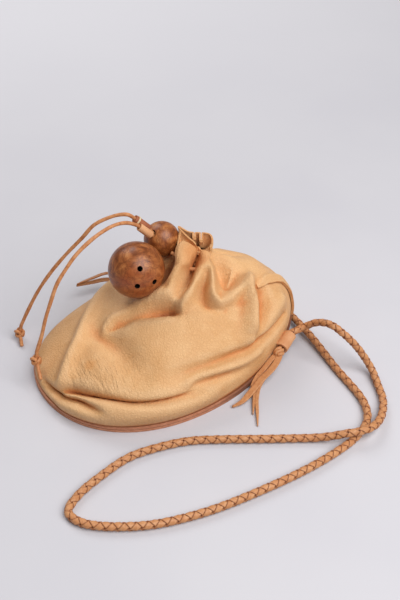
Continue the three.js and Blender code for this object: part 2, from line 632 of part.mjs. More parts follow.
// slider and laces
let slider = toSolid(sleeve(sleeveFront.toArray(), sleeveAxis.toArray(), SLEEVE_R, SLEEVE_BORE, SLEEVE_LENGTH, 10));
slider = slider.add(toSolid(
  sleeve(sleeveRear.toArray(), sleeveAxis.toArray(), SLEEVE_R, SLEEVE_BORE, SLEEVE_LENGTH, 10),
));
addNode('cord_slider', fromSolid(slider), 0xb98552, 0.7);
addNode('drawcord_loop', sweep(loopRoute, LACE_R, 8, LOOP_STEPS), 0x9a6238, 0.7);

const tailStart = (sleeveAt) => [
  sleeveAt.clone().addScaledVector(sleeveAxis, 6),
  sleeveAt.clone().addScaledVector(sleeveAxis, SLEEVE_LENGTH - 3),
  sleeveAt.clone().addScaledVector(sleeveAxis, SLEEVE_LENGTH + 1.5),
];
const knotTop = (knot) => [-8, -4.9].map((d) => V(knot.at).addScaledVector(V(knot.axis).normalize(), d));
const upperRoute = [...tailStart(sleeveRear), ...TAIL_UPPER_ROUTE.map(V), ...knotTop(KNOT_UPPER)];
const lowerRoute = [...tailStart(sleeveFront), ...TAIL_LOWER_ROUTE.map(V), ...knotTop(KNOT_LOWER)];
addNode('drawcord_tail_upper', sweep(upperRoute, LACE_R, 8, 24), 0x9a6238, 0.7);
addNode('drawcord_tail_lower', sweep(lowerRoute, LACE_R, 8, 24), 0x9a6238, 0.7);
addNode('tail_knot_upper', fromSolid(laceKnot(KNOT_UPPER)), 0x9a6238, 0.7);
addNode('tail_knot_lower', fromSolid(laceKnot(KNOT_LOWER)), 0x9a6238, 0.7);

// strap, its loops and its tassels
const rightAxis = V(TAB_RIGHT_AXIS).normalize();
const backAxis = V(TAB_BACK_AXIS).normalize();
const along = (at, axis, d) => V(at).addScaledVector(axis, d);
const half = TAB_LENGTH / 2;
addNode('strap_tab_right', sleeve(
  along(TAB_RIGHT_AT, rightAxis, -half).toArray(), TAB_RIGHT_AXIS, TAB_R, TAB_BORE, TAB_LENGTH, 14,
), 0xb98552, 0.7);
addNode('strap_tab_back', sleeve(
  along(TAB_BACK_AT, backAxis, -half).toArray(), TAB_BACK_AXIS, TAB_R, TAB_BORE, TAB_LENGTH, 14,
), 0xb98552, 0.7);
const strapRoute = [
  along(TAB_RIGHT_AT, rightAxis, -half),
  along(TAB_RIGHT_AT, rightAxis, 0),
  along(TAB_RIGHT_AT, rightAxis, half + 1.5),
  ...STRAP_ROUTE.map(V),
  along(TAB_BACK_AT, backAxis, half + 1.5),
  along(TAB_BACK_AT, backAxis, 0),
  along(TAB_BACK_AT, backAxis, -half),
];
addNode('strap', sweep(strapRoute, STRAP_R, 8, 66), 0xc08a58, 0.7);
addNode('strap_tassel_right', fromSolid(tassel(
  along(TAB_RIGHT_AT, rightAxis, -half - GAP - 4.5).toArray(), TAB_RIGHT_AXIS, TASSEL_RIGHT,
)), 0xc08a58, 0.7);
addNode('strap_tassel_back', fromSolid(tassel(
  along(TAB_BACK_AT, backAxis, -half - GAP - 4.5).toArray(), TAB_BACK_AXIS, TASSEL_BACK,
)), 0xc08a58, 0.7);

export default group;
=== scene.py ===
import math

import bmesh
import bpy
import numpy as np
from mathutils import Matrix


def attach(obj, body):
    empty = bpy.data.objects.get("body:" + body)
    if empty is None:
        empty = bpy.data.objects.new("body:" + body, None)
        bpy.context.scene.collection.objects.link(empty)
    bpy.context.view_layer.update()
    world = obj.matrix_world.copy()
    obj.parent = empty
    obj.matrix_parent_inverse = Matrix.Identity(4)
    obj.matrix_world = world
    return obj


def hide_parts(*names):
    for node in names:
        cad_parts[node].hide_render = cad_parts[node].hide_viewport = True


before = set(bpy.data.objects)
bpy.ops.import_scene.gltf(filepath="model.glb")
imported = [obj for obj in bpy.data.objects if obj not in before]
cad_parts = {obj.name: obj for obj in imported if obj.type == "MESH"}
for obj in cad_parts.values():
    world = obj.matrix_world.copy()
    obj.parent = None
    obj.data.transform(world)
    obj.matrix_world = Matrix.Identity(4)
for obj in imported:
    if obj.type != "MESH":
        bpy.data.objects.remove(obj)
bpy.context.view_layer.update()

# Soft leather drawstring pouch on an egg-shaped base, with wooden balls and a braided strap.
# Lengths are millimetres in the row frame and become metres when a mesh is made. The places of the camera,
# the lights and the stain, and the sizes of the lights and the floor, are in metres.
MM = 0.001
TURN = 2 * math.pi
UP = np.array([0, 0, 1])

# an axis steeper than this is set against +X, and nearest points are looked for in batches
STEEP = 0.9
BATCH = 8000

# camera
EYE = (-0.1843, -0.4828, 0.4855)
TILT = (math.radians(50), 0, math.radians(-24))
LENS = 50
SENSOR = 36

# lights: name, place, aim, size, power
LIGHTS = [
    ("front_window", (0.38, -0.78, 1.22), (0, -0.03, 0.04), 1.3, 24.5),
    ("far_fill", (-0.2, 1.7, 1.7), (-0.1, 0.6, 0), 1.4, 21),
]
GLOW_COLOUR = (0.95, 0.95, 1, 1)
GLOW_STRENGTH = 0.2
FLOOR_HALF = 4

# base outline and its curled strap end
HALF_LENGTH = 113
HALF_FRONT = 82
HALF_BACK = 70
EGG = -0.2
SOLE_THICK = 2.4
WELT_THICK = 2.2
LAYER_GAP = 0.3
WELT_WIDTH = 26
CURL = 13
CURL_FROM = 30
CURL_POWER = 1.6

# rows of the base's mesh: from the edge inwards across a band and a plate, and round the edge
BASE_AROUND = 220
BASE_SOFT = 0.45
BAND_STEPS = (0, 0.03, 0.08, 0.2, 0.45, 0.7, 1)
PLATE_STEPS = (1, 0.95, 0.87, 0.75, 0.6, 0.4, 0.2, 0.004)
EDGE_TURNS = (0.4, 0.8, 1.2)

# pouch skin; in the groups on the skin, names that end in V, FROM or SPAN are shares of the way up
WALL = 2.2
COLLAR_WALL = 1.4
THIN_FROM = 0.78
THIN_SPAN = 0.08
FOOT_INSET = 1.5
FOOT_CLEAR = 0.1
FOOT_Z = SOLE_THICK + WELT_THICK + 2 * LAYER_GAP + FOOT_CLEAR
FOOT_SLOPE = 22.8
FOOT_REACH = 92
MOUTH_REACH = 15
REACH_SPAN = 0.9
NECK = (30, 8, 80)
NECK_RADII = (16, 13)
NECK_V = 0.84
NECK_RISE = (0, 0, 20)
SKIN_AROUND = 380
SKIN_UP = 126
COLLAR_ROWS = 30
COLUMNS_AT = 330
FRONT_AT = 245
FRONT_WIDE = 80

# lap of the seam, which fades out part of the way up
LAP = 8
LAP_LEAST = 0.2
LAP_RAMP = 7
LAP_FLAT = 0.12
LAP_CLEAR = 0.6
LAP_COLUMNS = 20
LAP_FADE_FROM = 0.49
LAP_FADE_SPAN = 0.04

# fine gathers below the neck
GATHERS = 37
GATHER_SWAYS = 3
GATHER_SWAY = 2.2
GATHER_TWIST = 5
GATHER_HIGH = 0.12
GATHER_FROM = 0.42
GATHER_SPAN = 0.3

# the folds' droop grows over this much from the foot up; the skin is evened out at the neck, and more so
# at the strap end
DROOP_SPAN = 0.12
NECK_ROUNDS = 10
NECK_SPAN = 0.03
END_AT = 340
END_WIDE = 28
END_FADE = 18
END_ROUNDS = 90
END_SPAN = 0.055

# painted shade in the skin's colour: rounds of evening out and gain for hollows of each size, painted shade
# of the lowest rows where the skin meets the base, less painted shade at the crest, painted shade on the
# front below the mouth and painted shade inside the neck
HOLLOW_SIZES = [(4, 0.7), (16, 0.4), (40, 0.12)]
FOOT_SHADES = (3.8, 3.4, 2, 0.8)
CREST_SHADE_CUT = 0.75
CREST_SHADE_CUT_FROM = 0.9
CREST_SHADE_CUT_SPAN = 0.04
FRONT_SHADE = 1.25
FRONT_SHADE_WIDE = 42
FRONT_SHADE_FROM = 0.74
FRONT_SHADE_SPAN = 0.12
INSIDE_SHADE = 1.5
INSIDE_SPAN = 0.06

# soft spots on the skin: direction in degrees, share of the way up, half width, half height, gain; the
# crease, cleft and ball spots add painted shade (deeper in the crease, a near-black shadowed pit in the
# cleft and a painted shadow beside the large ball), the crinkle spot only places the wrinkles' bump
SPOTS = {
    "crease": (222, .2, 28, .07, 1.3),
    "cleft": (242.5, .864, 3.5, .014, 6),
    "shadow_beside_ball": (158, .76, 30, .06, 2.3),
    "crinkle": (212, .3, 22, .1, 1),
}

# lace and its knots; unevenness of the lace: share, length, start
LACE_R = 1.5
LACE_SIDES = 14
LACE_STEP = 1.6
LACE_UNEVEN = [(0.05, 7.3, 0), (0.03, 2.9, 1)]
KNOT_RING = 2.9
KNOT_SWELL = 0.7
KNOT_RISE = 2.1
KNOT_LACE_R = 1.35
KNOT_STEPS = 110
KNOT_CORE = (-5, -2, 0)
TAIL_INSIDE = 6
TAIL_TO_END = 3
TAIL_PAST_END = 1.5
TAIL_TO_KNOT = (-8, -4.9)

# strap, its braid and tassels
STRAP_STEP = 1.2
STRAP_CLEAR = 1.5
STRANDS = 4
BRAID_PITCH = 16.5
BRAID_LAY = 1.85
BRAID_OVER = 0.5
STRAND_WIDTH = 4.9
STRAND_THICK = 1.7
# painted shade between the strands: it starts this far from the strap's line and is full this much closer
STRAND_TOP = 2.5
STRAND_DEEP = 1.2
TASSEL_HEAD = 4.5
TASSEL_LUMPS = 5
TASSEL_CORE = (-3.4, -1.2, 1.2, 3.4)
TASSEL_CORE_R = 2.2
TASSEL_HALF = 3.3
TASSEL_TWIST = 0.9
TASSEL_WAIST = 1.3
TASSEL_BULGE = 1.5
LUMP_R = 1.75
LUMP_THINS = 0.35
STRIP_THICK = 1.7
STRIP_STEP = 1.5
STRIP_SIDES = 14
STRIP_TAPER = 0.72
STRIP_TAPER_FROM = 0.72
STRIP_CUP = 0.35
STRIP_SINK = 0.15
STRIP_WAVE = 0.25
STRIP_WAVES = 9

# loops on the base's edge, double sleeve on the lace, wooden balls
TAB_BORE = 3.6
TAB_WALL = 1.7
TAB_LENGTH = 16
LOOP_TURNS = (-0.35, 1)
LOOP_LAP_FROM = 0.55
LOOP_LAP_SPAN = 0.35
LOOP_LAP = 0.95
LOOP_SEAM = 0.25
LOOP_UNEVEN = 0.02
SLEEVE_R = 3.2
SLEEVE_BORE = 1.9
SLEEVE_SIDES = 36
SLEEVE_LENGTH = 13
REAR_SLEEVE_LENGTH = 15.5
REAR_SLEEVE_SHIFT = 3
SLEEVE_PITCH = 5.2
THREAD_R = 0.4
THREAD_PROUD = 0.15
THREAD_FROM_END = (3.6, 2.9)
BIG_BEAD_R = 22.5
SMALL_BEAD_R = 14.8
BIG_BEAD_AT = np.array([-19.3, 10.7, 82.0])
SMALL_BEAD_AT = np.array([11.2, 32.6, 88.3])
BIG_HOLES = [(-0.13, -0.77, 0.63), (-0.32, -0.94, 0.06), (0.31, -0.95, 0.05)]
BIG_HOLE_R = 1.8
BIG_HOLE_DEEP = 12
TIE_HOLE_R = 1.75
BIG_TIE_DEEP = 9
SMALL_TIE_DEEP = 7
TIE_SHORT = 1
BORE_PAST = 8
GRAIN_AXIS = (0.3, 0.2, 0.93)
BALL_UNEVEN = 0.004
TIP_R = 0.02

# skin meridians: direction, handle up and out at the foot, handle out and down at the neck
MERIDIANS = np.array([
    (0, 42, 4, 32, 8),
    (45, 35, 4, 28, 11),
    (90, 28, 3, 24, 16),
    (135, 18, 2, 24, 26),
    (180, 20, 6, 34, 30),
    (225, 32, 9, 34, 22),
    (270, 40, 9, 32, 14),
    (315, 43, 8, 33, 9),
], float)

# folds of the skin: direction in degrees, share of the way up, height, half width, and droop if it has one
FOLDS = {
    "lip": [(220, .94, 6, 7), (226, .82, 9, 6.5, 1), (228, .71, 10, 6, 2), (220, .68, 10.5, 6, 2.5),
            (210, .64, 10.5, 6, 2.5), (199, .6, 11.5, 6, 2.5), (190, .56, 10, 6, 2),
            (185, .51, 8, 5.5, 1), (186, .47, 6, 5), (192, .47, 3, 5.5), (201, .49, 1, 7)],
    "lip_back": [(199, .99, 4, 5.5), (212, .84, 7, 5.5, 1), (214, .78, 7.5, 6, 1.5),
                 (208, .73, 7.5, 6.5, 2), (200, .68, 7, 6, 2), (187, .63, 4, 6, 1)],
    "lip_root": [(200, .9, 2, 6), (204, .82, 1, 6), (210, .76, 0, 6)],
    "second": [(271, .92, 5, 5), (269, .85, 6, 5.5), (266, .78, 9.5, 5, 1), (258, .71, 12, 4.8, 2),
               (253, .67, 12, 5, 2.5), (248, .63, 10, 5, 2.5)],
    "cleft": [(246, .95, -10, 2.4), (242, .85, -13, 2.4), (240, .78, -13, 3), (240, .73, -8, 4),
              (238, .69, -4, 4)],
    "swag": [(284, .92, 3, 4.5), (286, .85, 5, 5), (286, .79, 8, 4.6), (283, .74, 10, 4.4),
             (280, .69, 11, 4.6, 1), (279, .64, 12, 4.8, 2), (281, .61, 12, 4.8, 2.5),
             (285, .58, 11, 4.8, 2.5), (292, .58, 10, 4.8, 2), (300, .59, 10, 4.8, 1), (310, .59, 9, 5),
             (322, .59, 4, 6)],
    "hollow_swag": [(277, .77, -5, 3), (273, .72, -9, 4), (270, .68, -8, 4.5), (273, .62, -7, 4.5),
                    (280, .58, -6, 4.5), (287, .55, -4, 5)],
    "hollow_corner": [(306, .81, -1, 4), (309, .79, -5, 4.5), (307, .74, -8, 6), (302, .7, -9.5, 6),
                      (300, .65, -8, 5), (308, .65, -6, 5.5), (315, .65, -3, 6)],
    "corner": [(316, .59, 6, 5), (310, .54, 9, 5), (306, .47, 9.5, 5), (302, .42, 9, 5.5),
               (298, .36, 7.5, 6), (296, .31, 3, 8)],
    "hollow_side": [(319, .45, -5, 5), (314, .4, -7, 6), (307, .34, -7, 5.5), (300, .28, -4, 5)],
    "nest": [(168, .83, -4, 6), (182, .78, -6, 7), (181, .71, -5, 8), (162, .62, -3, 9)],
    "under_lip": [(186, .49, -4, 5.5), (190, .53, -9, 6.5), (195, .572, -11, 6.5), (204, .602, -12, 6.5),
                  (218, .625, -13, 6), (231, .627, -11.5, 5.2), (240, .617, -8, 4.5), (249, .615, -3, 5)],
    "behind_lip": [(140, .77, -2, 6), (158, .77, -7, 7), (173, .75, -10, 7), (181, .72, -9, 7),
                   (184, .68, -5, 6)],
    "left_ridge": [(119, .38, 6, 12), (137, .41, 6, 10), (156, .42, 6, 7), (178, .38, 6, 6),
                   (187, .32, 6, 6), (196, .22, 5, 6), (196, .16, 2, 6)],
    "soft_dip": [(175, .43, -3, 9), (196, .45, -7, 10), (218, .41, -7, 12), (235, .34, -3, 12)],
    "crease": [(196, .13, -3, 3), (201, .18, -7, 3.2), (208, .21, -9, 3.5), (223, .22, -10, 3.5),
               (237, .2, -10, 3.5), (250, .18, -8, 3.5), (261, .16, -5, 3.5), (270, .14, -1, 3.5)],
    "brow": [(198, .18, 3, 7, 3), (212, .24, 5, 7, 6), (225, .25, 6, 7, 7), (237, .24, 6, 7, 7),
             (248, .23, 5, 7, 5), (260, .23, 3, 7, 3)],
    "roll": [(204, .1, 3, 8), (224, .12, 5, 10), (241, .12, 5, 10), (258, .1, 4, 10), (273, .1, 3, 9)],
    "low_crease": [(186, .1, -3, 2.6), (194, .11, -7, 2.8), (202, .12, -9, 3), (210, .14, -9, 3),
                   (219, .13, -6, 3.2), (226, .12, -1, 3)],
    "groove": [(324, .17, -3, 3.5), (313, .19, -6, 3.5), (304, .21, -7, 3.5), (294, .23, -6, 4),
               (286, .26, -6, 4), (274, .28, -5, 4.5), (262, .29, -4, 5), (250, .29, -1, 5)],
    "lower_groove": [(290, .13, -1, 4), (279, .17, -5, 4), (268, .2, -5, 4.5), (258, .21, -1, 5)],
    "band": [(299, .17, 2, 4), (286, .2, 3, 4.5), (274, .23, 3, 5), (262, .24, 2, 5)],
    "flank": [(326, .29, 4, 7), (314, .31, 5, 7), (304, .31, 5, 7), (299, .29, 2, 7)],
    "end_pleat": [(341, .86, 3, 5), (340, .8, 4, 5), (336, .72, 3, 7), (332, .62, 0, 9)],
    "shoulder_dip": [(57, .8, -3, 8), (46, .72, -3, 9), (32, .6, -1.5, 11), (18, .5, -1.5, 13),
                     (12, .43, -3.5, 14), (4, .36, -5, 16), (-2, .27, -4.5, 14), (-8, .2, -3, 12),
                     (-14, .15, -1, 10)],
    "back_pleat_1": [(40, .82, 3, 4.5), (46, .7, 2, 8), (48, .48, 0, 10)],
    "back_pleat_2": [(75, .82, 4, 4.5), (73, .66, 5, 8), (70, .42, 0, 10)],
    "back_pleat_3": [(113, .82, 4, 4.5), (114, .66, 5, 8), (116, .42, 0, 10)],
    "back_pleat_4": [(155, .82, 3, 4.5), (155, .7, 3, 7), (155, .6, 0, 9)],
}

# hollows between the back pleats: directions at the neck, half way and at the lower end, and the share of
# the way up of that end
BACK_DIPS = [(10, 8, 7, .52), (55, 54, 52, .52), (94, 94, 94, .5), (134, 134, 134, .5)]
for number, (top, middle, end, end_v) in enumerate(BACK_DIPS, 1):
    FOLDS["back_dip_%d" % number] = [(top, .82, -4, 3.5), (middle, .66, -3, 6), (end, end_v, 0, 7)]

# gathered mouth, one row per point: direction in degrees, right and back from its middle, height over it;
# the crest also has how much the leather rolls over there
MOUTH_AT = np.array([32, 12, 97])
MOUTH_RIGHT = np.array([0.9135, -0.4067, 0])
MOUTH_BACK = np.array([0.4067, 0.9135, 0])
TABLE_START = -24
CREST_V = 0.94
COLLAR_LEAD = 6
CREST_HANDLE = 4
CREST_FLAT = 3
RIM_HANDLE = 0.7
ROLL_OUT = 6
ROLL_IN = 1.6
ROLL_DEEP = 6.5
CREST = np.array([
    (-24, 14.3, -1.5, -3.5, 0), (-6, 13.2, 4, -2.5, 0), (4, 10.5, 6.6, -2, 0), (11, 6.2, 7.7, -2, 0),
    (16, 4.95, 7.3, -2, 0), (21, 4.75, 4.6, -2, 0), (27, 4.7, 1, -2.5, 0), (32, 4.5, -1.5, -3, 0),
    (37, 4.4, 1, -2.5, 0), (43, 4.35, 4.6, -2, 0), (47, 4.2, 7.3, -2, 0), (53, 2.6, 7.9, -2, 0),
    (59, -.6, 7.7, -2, 0), (63, -.9, 5, -2, 0), (70, -1, 1, -2.5, 0), (76, -1.15, 5, -2, 0),
    (81, -1.35, 7.9, -2, 0), (90, -5.5, 9.2, -2, 0), (106, -10, 11.4, -1.5, 0), (116, -12.2, 13, -.8, 0),
    (128, -13.7, 13, -.8, 0), (146, -13.6, 11, -2, 0), (170, -13.5, 6, -3.5, 0),
    (187, -13.6, 2.4, -3.5, 0), (193, -13.6, -1.6, -5, .9), (202, -10.6, -2.4, -1.4, 1),
    (214, -6.6, -4.4, -.9, 1), (226, -2.8, -6.2, -2, 1), (235, .4, -7.8, -4, 1), (239, 1.5, -7.4, -7, .6),
    (243, 2, -4.8, -8.4, 0), (247, 2.3, -3.6, -9, 0), (251, 2.6, -5, -9.4, 0), (255, 2.8, -8, -9.4, .7),
    (262, 4, -9.4, -6.4, 1), (272, 6.5, -9.6, -5, 1), (282, 9.4, -9, -6.2, 1),
    (290, 11.4, -6.6, -9.4, .5), (300, 11.4, -5, -8.5, 0), (312, 11.8, -6, -6.5, 0),
    (324, 13.8, -5, -4.5, 0),
], float)

# from the right round to the back the rim stands straight over the crest, and past this direction it has
# rows of its own
RIM_RISE = 2
RIM_OWN_AT = 100
RIM = np.vstack([CREST[CREST[:, 0] < RIM_OWN_AT, :4] + (0, 0, 0, RIM_RISE), [
    (106, -10, 11.8, 1.2), (116, -12.4, 13.3, 1.9), (128, -14, 13.3, 2), (146, -14.2, 11.8, 1.9),
    (170, -13, 10, 1.6), (187, -12, 8.4, 1.4), (193, -11.2, 7, 1.2), (202, -9.2, 4, .8),
    (214, -5.6, -.8, .2), (226, -2.2, -4, -.8), (235, .3, -5.6, -2.8), (239, 1.2, -5.2, -4.2),
    (243, 1.9, -4.2, -6), (247, 2.4, -3.2, -7), (251, 2.9, -4, -7.8), (255, 3.4, -4.6, -8.4),
    (262, 4.5, -5, -8.8), (272, 6, -5.2, -8.8), (282, 7.8, -5.2, -8.4), (290, 9.2, -5, -7.4),
    (300, 10.4, -5, -5.8), (312, 11.4, -5.4, -4), (324, 13.6, -4.6, -2.5),
]])

# orange stain on the front, in metres
STAIN_AT = (-0.0749, -0.0285, 0.0344)

# line of the lapped seam: share of the way up, direction in degrees
SEAM = np.array([(0, 346), (.16, 346.5), (.25, 345.5), (.32, 345), (.37, 342), (.44, 336), (.48, 330),
                 (.53, 320), (.6, 315), (.75, 314), (1, 318)], float)

# routes of the strap from loop to loop and of the free lace ends from the sleeves to their knots
STRAP_ROUTE = [
    (106.2, -43.6, 20), (113.4, -51, 28.5), (118, -65.5, 36), (123, -75.6, 33.5), (130.4, -83.4, 25),
    (137, -90.2, 14), (140, -98.5, 6), (136.8, -112.8, 3.3), (131.3, -128.3, 3.3), (121, -142, 5),
    (110, -150.5, 8), (102, -153.4, 9.8), (92, -153.2, 10.2), (83, -150.4, 9.4), (73.5, -146.1, 6.4),
    (62.7, -140.7, 4), (50, -135, 3.3), (24.6, -124.4, 3.3), (-3, -112.6, 3.3), (-24, -104.8, 3.3),
    (-47, -101, 3.3), (-70.6, -100.8, 3.3), (-92, -107.3, 3.3), (-117, -119, 3.3), (-126.3, -129, 3.3),
    (-120, -141.5, 3.3), (-85, -159.7, 3.3), (-44, -167.2, 3.3), (2.8, -167, 3.3), (54.7, -161.7, 3.3),
    (91.5, -152.1, 3.3), (108.5, -141, 3.3), (116.3, -124, 3.3), (116, -82, 3.4), (114.8, -41, 6),
    (111.4, -7.6, 6.5), (104, 30, 4.2), (90, 50, 3.4), (70, 62, 3.4), (52, 66, 6.8),
]
TAIL_UPPER_ROUTE = [
    (-16, 34, 118.8), (-22, 36.6, 118.7), (-30.4, 39.6, 116.2), (-41.2, 43.1, 110.3), (-51.1, 46.4, 98.5),
    (-64.5, 50.4, 83.8), (-77.6, 54.2, 67.5), (-89.6, 57.4, 49.7), (-100, 60, 30.5), (-106.6, 61, 17.6),
]
TAIL_LOWER_ROUTE = [
    (-17.6, 30.2, 113.8), (-29.2, 26.3, 117.6), (-40.9, 23.1, 116.5), (-52.7, 19.9, 112.7),
    (-64.7, 16.6, 106.3), (-74.2, 14, 97.8), (-83.1, 11.6, 87.9), (-89.9, 9.7, 74.8), (-95.9, 8.1, 61.9),
    (-102.6, 6.2, 44),
]
KNOT_UPPER = {"at": (-110.5, 61.3, 6.9), "axis": (-.3, 0, -.95), "tip": (-112.3, 50, 1.8)}
KNOT_LOWER = {"at": (-109.7, 4.3, 24.6), "axis": (-.25, -.15, -.95), "tip": (-110.6, -7.9, 14.6)}

# sleeves, bore of the small ball, drawcord inside the neck, loops on the base's edge
SLEEVE_AT = np.array([0, 26.8, 99.2])
SLEEVE_AXIS = (-.66, .16, .7)
SLEEVE_SIDE = (.409, .878, .169)
BORE_IN = np.array([20.8, 36.4, 78])
BORE_OUT = np.array([1.8, 28.9, 98.6])
BORE_R = 3.3
CORD_INSIDE = 5
CORD_ENTRY = 0.5
LEG_PITCH = 1.55
RING_AT = (31.5, 9.5)
RING_R = 8
RING_Z = 78
RING_TURN = (150, 470)
DRAWCORD_FRONT = [(12, 14.4, 86.6), (14.6, 11, 85.4), (16.4, 5, 83), (18, .5, 80.8), (22.2, -4, 80),
                  (28.6, -6.8, 80)]
TAB_RIGHT_AT = np.array([85.2, -51.2, 18])
TAB_RIGHT_AXIS = (.8, .58, .15)
TAB_BACK_AT = np.array([27.8, 69.7, 8.6])
TAB_BACK_AXIS = (.972, -.236, 0)

# tassel strips: width, route from the knot to the tip
TASSEL_RIGHT = [
    (5.4, [(73.1, -62.4, 15), (64, -69.5, 12.5), (52, -73.9, 9), (40.4, -79.5, 5.5), (29, -84.9, 3),
           (20.5, -85.4, 1.5)]),
    (4.4, [(68.6, -60.6, 14), (59.4, -64.6, 10.5), (51.6, -67.9, 7), (42.3, -74, 4)]),
    (2.6, [(66, -64, 11), (51.2, -74, 6), (45.5, -76.6, 4), (39, -86.2, 2.2), (31.8, -98.7, 1.2)]),
    (2.8, [(66, -66, 11), (51.7, -74.8, 6.5), (47.4, -78.1, 4.6), (40.9, -87.4, 2.6), (35.4, -99, 1.6),
           (29.8, -110.7, 1.2)]),
]
TASSEL_BACK = [
    (3, [(10, 75.4, 9.4), (-4, 84, 16), (-19.4, 92.5, 20), (-34.6, 92, 19), (-49.1, 91.1, 17.5)]),
    (5, [(10, 76, 9), (-6, 83, 13), (-22.6, 89.2, 16), (-35.5, 90.2, 16), (-49.7, 91.1, 16)]),
]


def unit(a):
    a = np.asarray(a, float)
    return a / np.linalg.norm(a, axis=-1, keepdims=True)


def ease(x):
    x = np.clip(x, 0, 1)
    return x * x * (3 - 2 * x)


def curl(x):
    """Rise of the base towards its curled end."""
    return CURL * np.clip((x - CURL_FROM) / (HALF_LENGTH - CURL_FROM), 0, 1) ** CURL_POWER


def across(axis):
    """Two unit vectors square to an axis and to each other."""
    a = unit(axis)
    side = unit(np.cross(a, (0, 0, 1) if abs(a[2]) < STEEP else (1, 0, 0)))
    return side, np.cross(a, side)


def circle(turn, side, over):
    """Points of a unit circle in the plane of two vectors."""
    return np.cos(turn)[:, None] * side + np.sin(turn)[:, None] * over


def cubic(a, b, out, into, k):
    """Curve from a to b with the given slopes at its ends."""
    return a + out * k + (3 * b - 3 * a - 2 * out - into) * k ** 2 + (2 * a - 2 * b + out + into) * k ** 3


def nearest(points, line):
    """Index of the line's nearest point for each point, and the distance squared."""
    near = np.zeros(len(points), int)
    best = np.zeros(len(points))
    for i in range(0, len(points), BATCH):
        gap = ((points[i:i + BATCH, None] - line[None]) ** 2).sum(2)
        near[i:i + BATCH] = gap.argmin(1)
        best[i:i + BATCH] = gap.min(1)
    return near, best


def ahead(at, axis, distance):
    return np.asarray(at, float) + unit(axis) * distance


# routes and tubes

def smooth_route(points, step):
    """Points about step apart on the centripetal Catmull-Rom line through the given ones."""
    p = np.asarray(points, float)
    p = np.vstack([2 * p[0] - p[1], p, 2 * p[-1] - p[-2]])
    k = np.linspace(0, 1, 40, endpoint=False)[:, None]
    fine = []
    for i in range(1, len(p) - 2):
        a, b, c, d = p[i - 1:i + 3]
        da, db, dc = (np.sum((n - m) ** 2) ** 0.25 for m, n in ((a, b), (b, c), (c, d)))
        out = ((b - a) / da - (c - a) / (da + db) + (c - b) / db) * db
        into = ((c - b) / db - (d - b) / (db + dc) + (d - c) / dc) * db
        fine.append(cubic(b, c, out, into, k))
    fine = np.vstack(fine + [p[-2:-1]])
    run = np.concatenate([[0], np.cumsum(np.linalg.norm(np.diff(fine, axis=0), axis=1))])
    at = np.linspace(0, run[-1], max(8, round(run[-1] / step)) + 1)
    return np.stack([np.interp(at, run, fine[:, c]) for c in range(3)], axis=1)


def line_length(path):
    return float(np.linalg.norm(np.diff(path, axis=0), axis=1).sum())


def carried_frames(path, closed):
    """Side and over vectors along a path, turned as little as possible."""
    if closed:
        along = unit(np.roll(path, -1, 0) - np.roll(path, 1, 0))
    else:
        along = unit(np.gradient(path, axis=0))
    side = np.zeros_like(along)
    side[0], _ = across(along[0])
    for i in range(1, len(path)):
        side[i] = unit(side[i - 1] - along[i] * np.dot(side[i - 1], along[i]))
    return side, np.cross(along, side)


def ring_walls(count, sides, closed=False):
    """Faces between rings of points, from each ring to the next."""
    faces = []
    for i in range(count if closed else count - 1):
        a, b = i * sides, (i + 1) % count * sides
        for j in range(sides):
            k = (j + 1) % sides
            faces.append((a + j, a + k, b + k, b + j))
    return faces


def skinned_rings(rings, closed=False):
    """Vertices and faces of a closed skin over rings of points, ends filled."""
    count, sides = rings.shape[:2]
    verts = rings.reshape(-1, 3)
    faces = ring_walls(count, sides, closed)
    if not closed:
        for ring, turn in ((0, -1), (count - 1, 1)):
            middle = len(verts)
            verts = np.vstack([verts, rings[ring].mean(0)])
            for j in range(sides):
                a, b = ring * sides + j, ring * sides + (j + 1) % sides
                faces.append((a, b, middle) if turn > 0 else (b, a, middle))
    return verts, faces


def round_tube(path, radius, sides, blunt=0.7, closed=False):
    """Tube along a path with softly rounded ends; radius is a number or one per point."""
    r = np.broadcast_to(np.asarray(radius, float), (len(path),))
    if not closed:
        turns = np.array([1.45, 1.1, 0.6])
        along = unit(np.gradient(path, axis=0))
        head = path[0] - along[0] * (r[0] * blunt * np.sin(turns))[:, None]
        tail = path[-1] + along[-1] * (r[-1] * blunt * np.sin(turns[::-1]))[:, None]
        path = np.vstack([head, path, tail])
        r = np.concatenate([r[0] * np.cos(turns), r, r[-1] * np.cos(turns[::-1])])
    side, over = carried_frames(path, closed)
    ring = circle(np.arange(sides) * TURN / sides, side[:, None], over[:, None])
    return skinned_rings(path[:, None] + r[:, None, None] * ring, closed)


def joined(parts):
    """One list of vertices and faces from several."""
    verts, faces, start = [], [], 0
    for v, f in parts:
        verts.append(v)
        faces += [tuple(i + start for i in face) for face in f]
        start += len(v)
    return np.vstack(verts), faces


def placed(name, data):
    """New object in the scene."""
    thing = bpy.data.objects.new(name, data)
    bpy.context.scene.collection.objects.link(thing)
    return thing


def new_piece(name, verts, faces, *finishes, sharp=None):
    """Mesh object from points in millimetres and their faces."""
    mesh = bpy.data.meshes.new(name)
    mesh.from_pydata((np.asarray(verts) * MM).tolist(), [], faces)
    mesh.update()
    return link_piece(name, mesh, *finishes, sharp=sharp)


def link_piece(name, mesh, *finishes, sharp=None):
    """Object of a mesh with its faces outwards and smooth, except past the sharp angle."""
    work = bmesh.new()
    work.from_mesh(mesh)
    bmesh.ops.recalc_face_normals(work, faces=work.faces)
    work.to_mesh(mesh)
    work.free()
    mesh.shade_smooth()
    if sharp:
        mesh.set_sharp_from_angle(angle=math.radians(sharp))
    kept = np.zeros(len(mesh.polygons), np.int32)
    mesh.polygons.foreach_get("material_index", kept)
    mesh.materials.clear()
    for finish in finishes:
        mesh.materials.append(finish)
    mesh.polygons.foreach_set("material_index", np.minimum(kept, len(finishes) - 1))
    return placed(name, mesh)


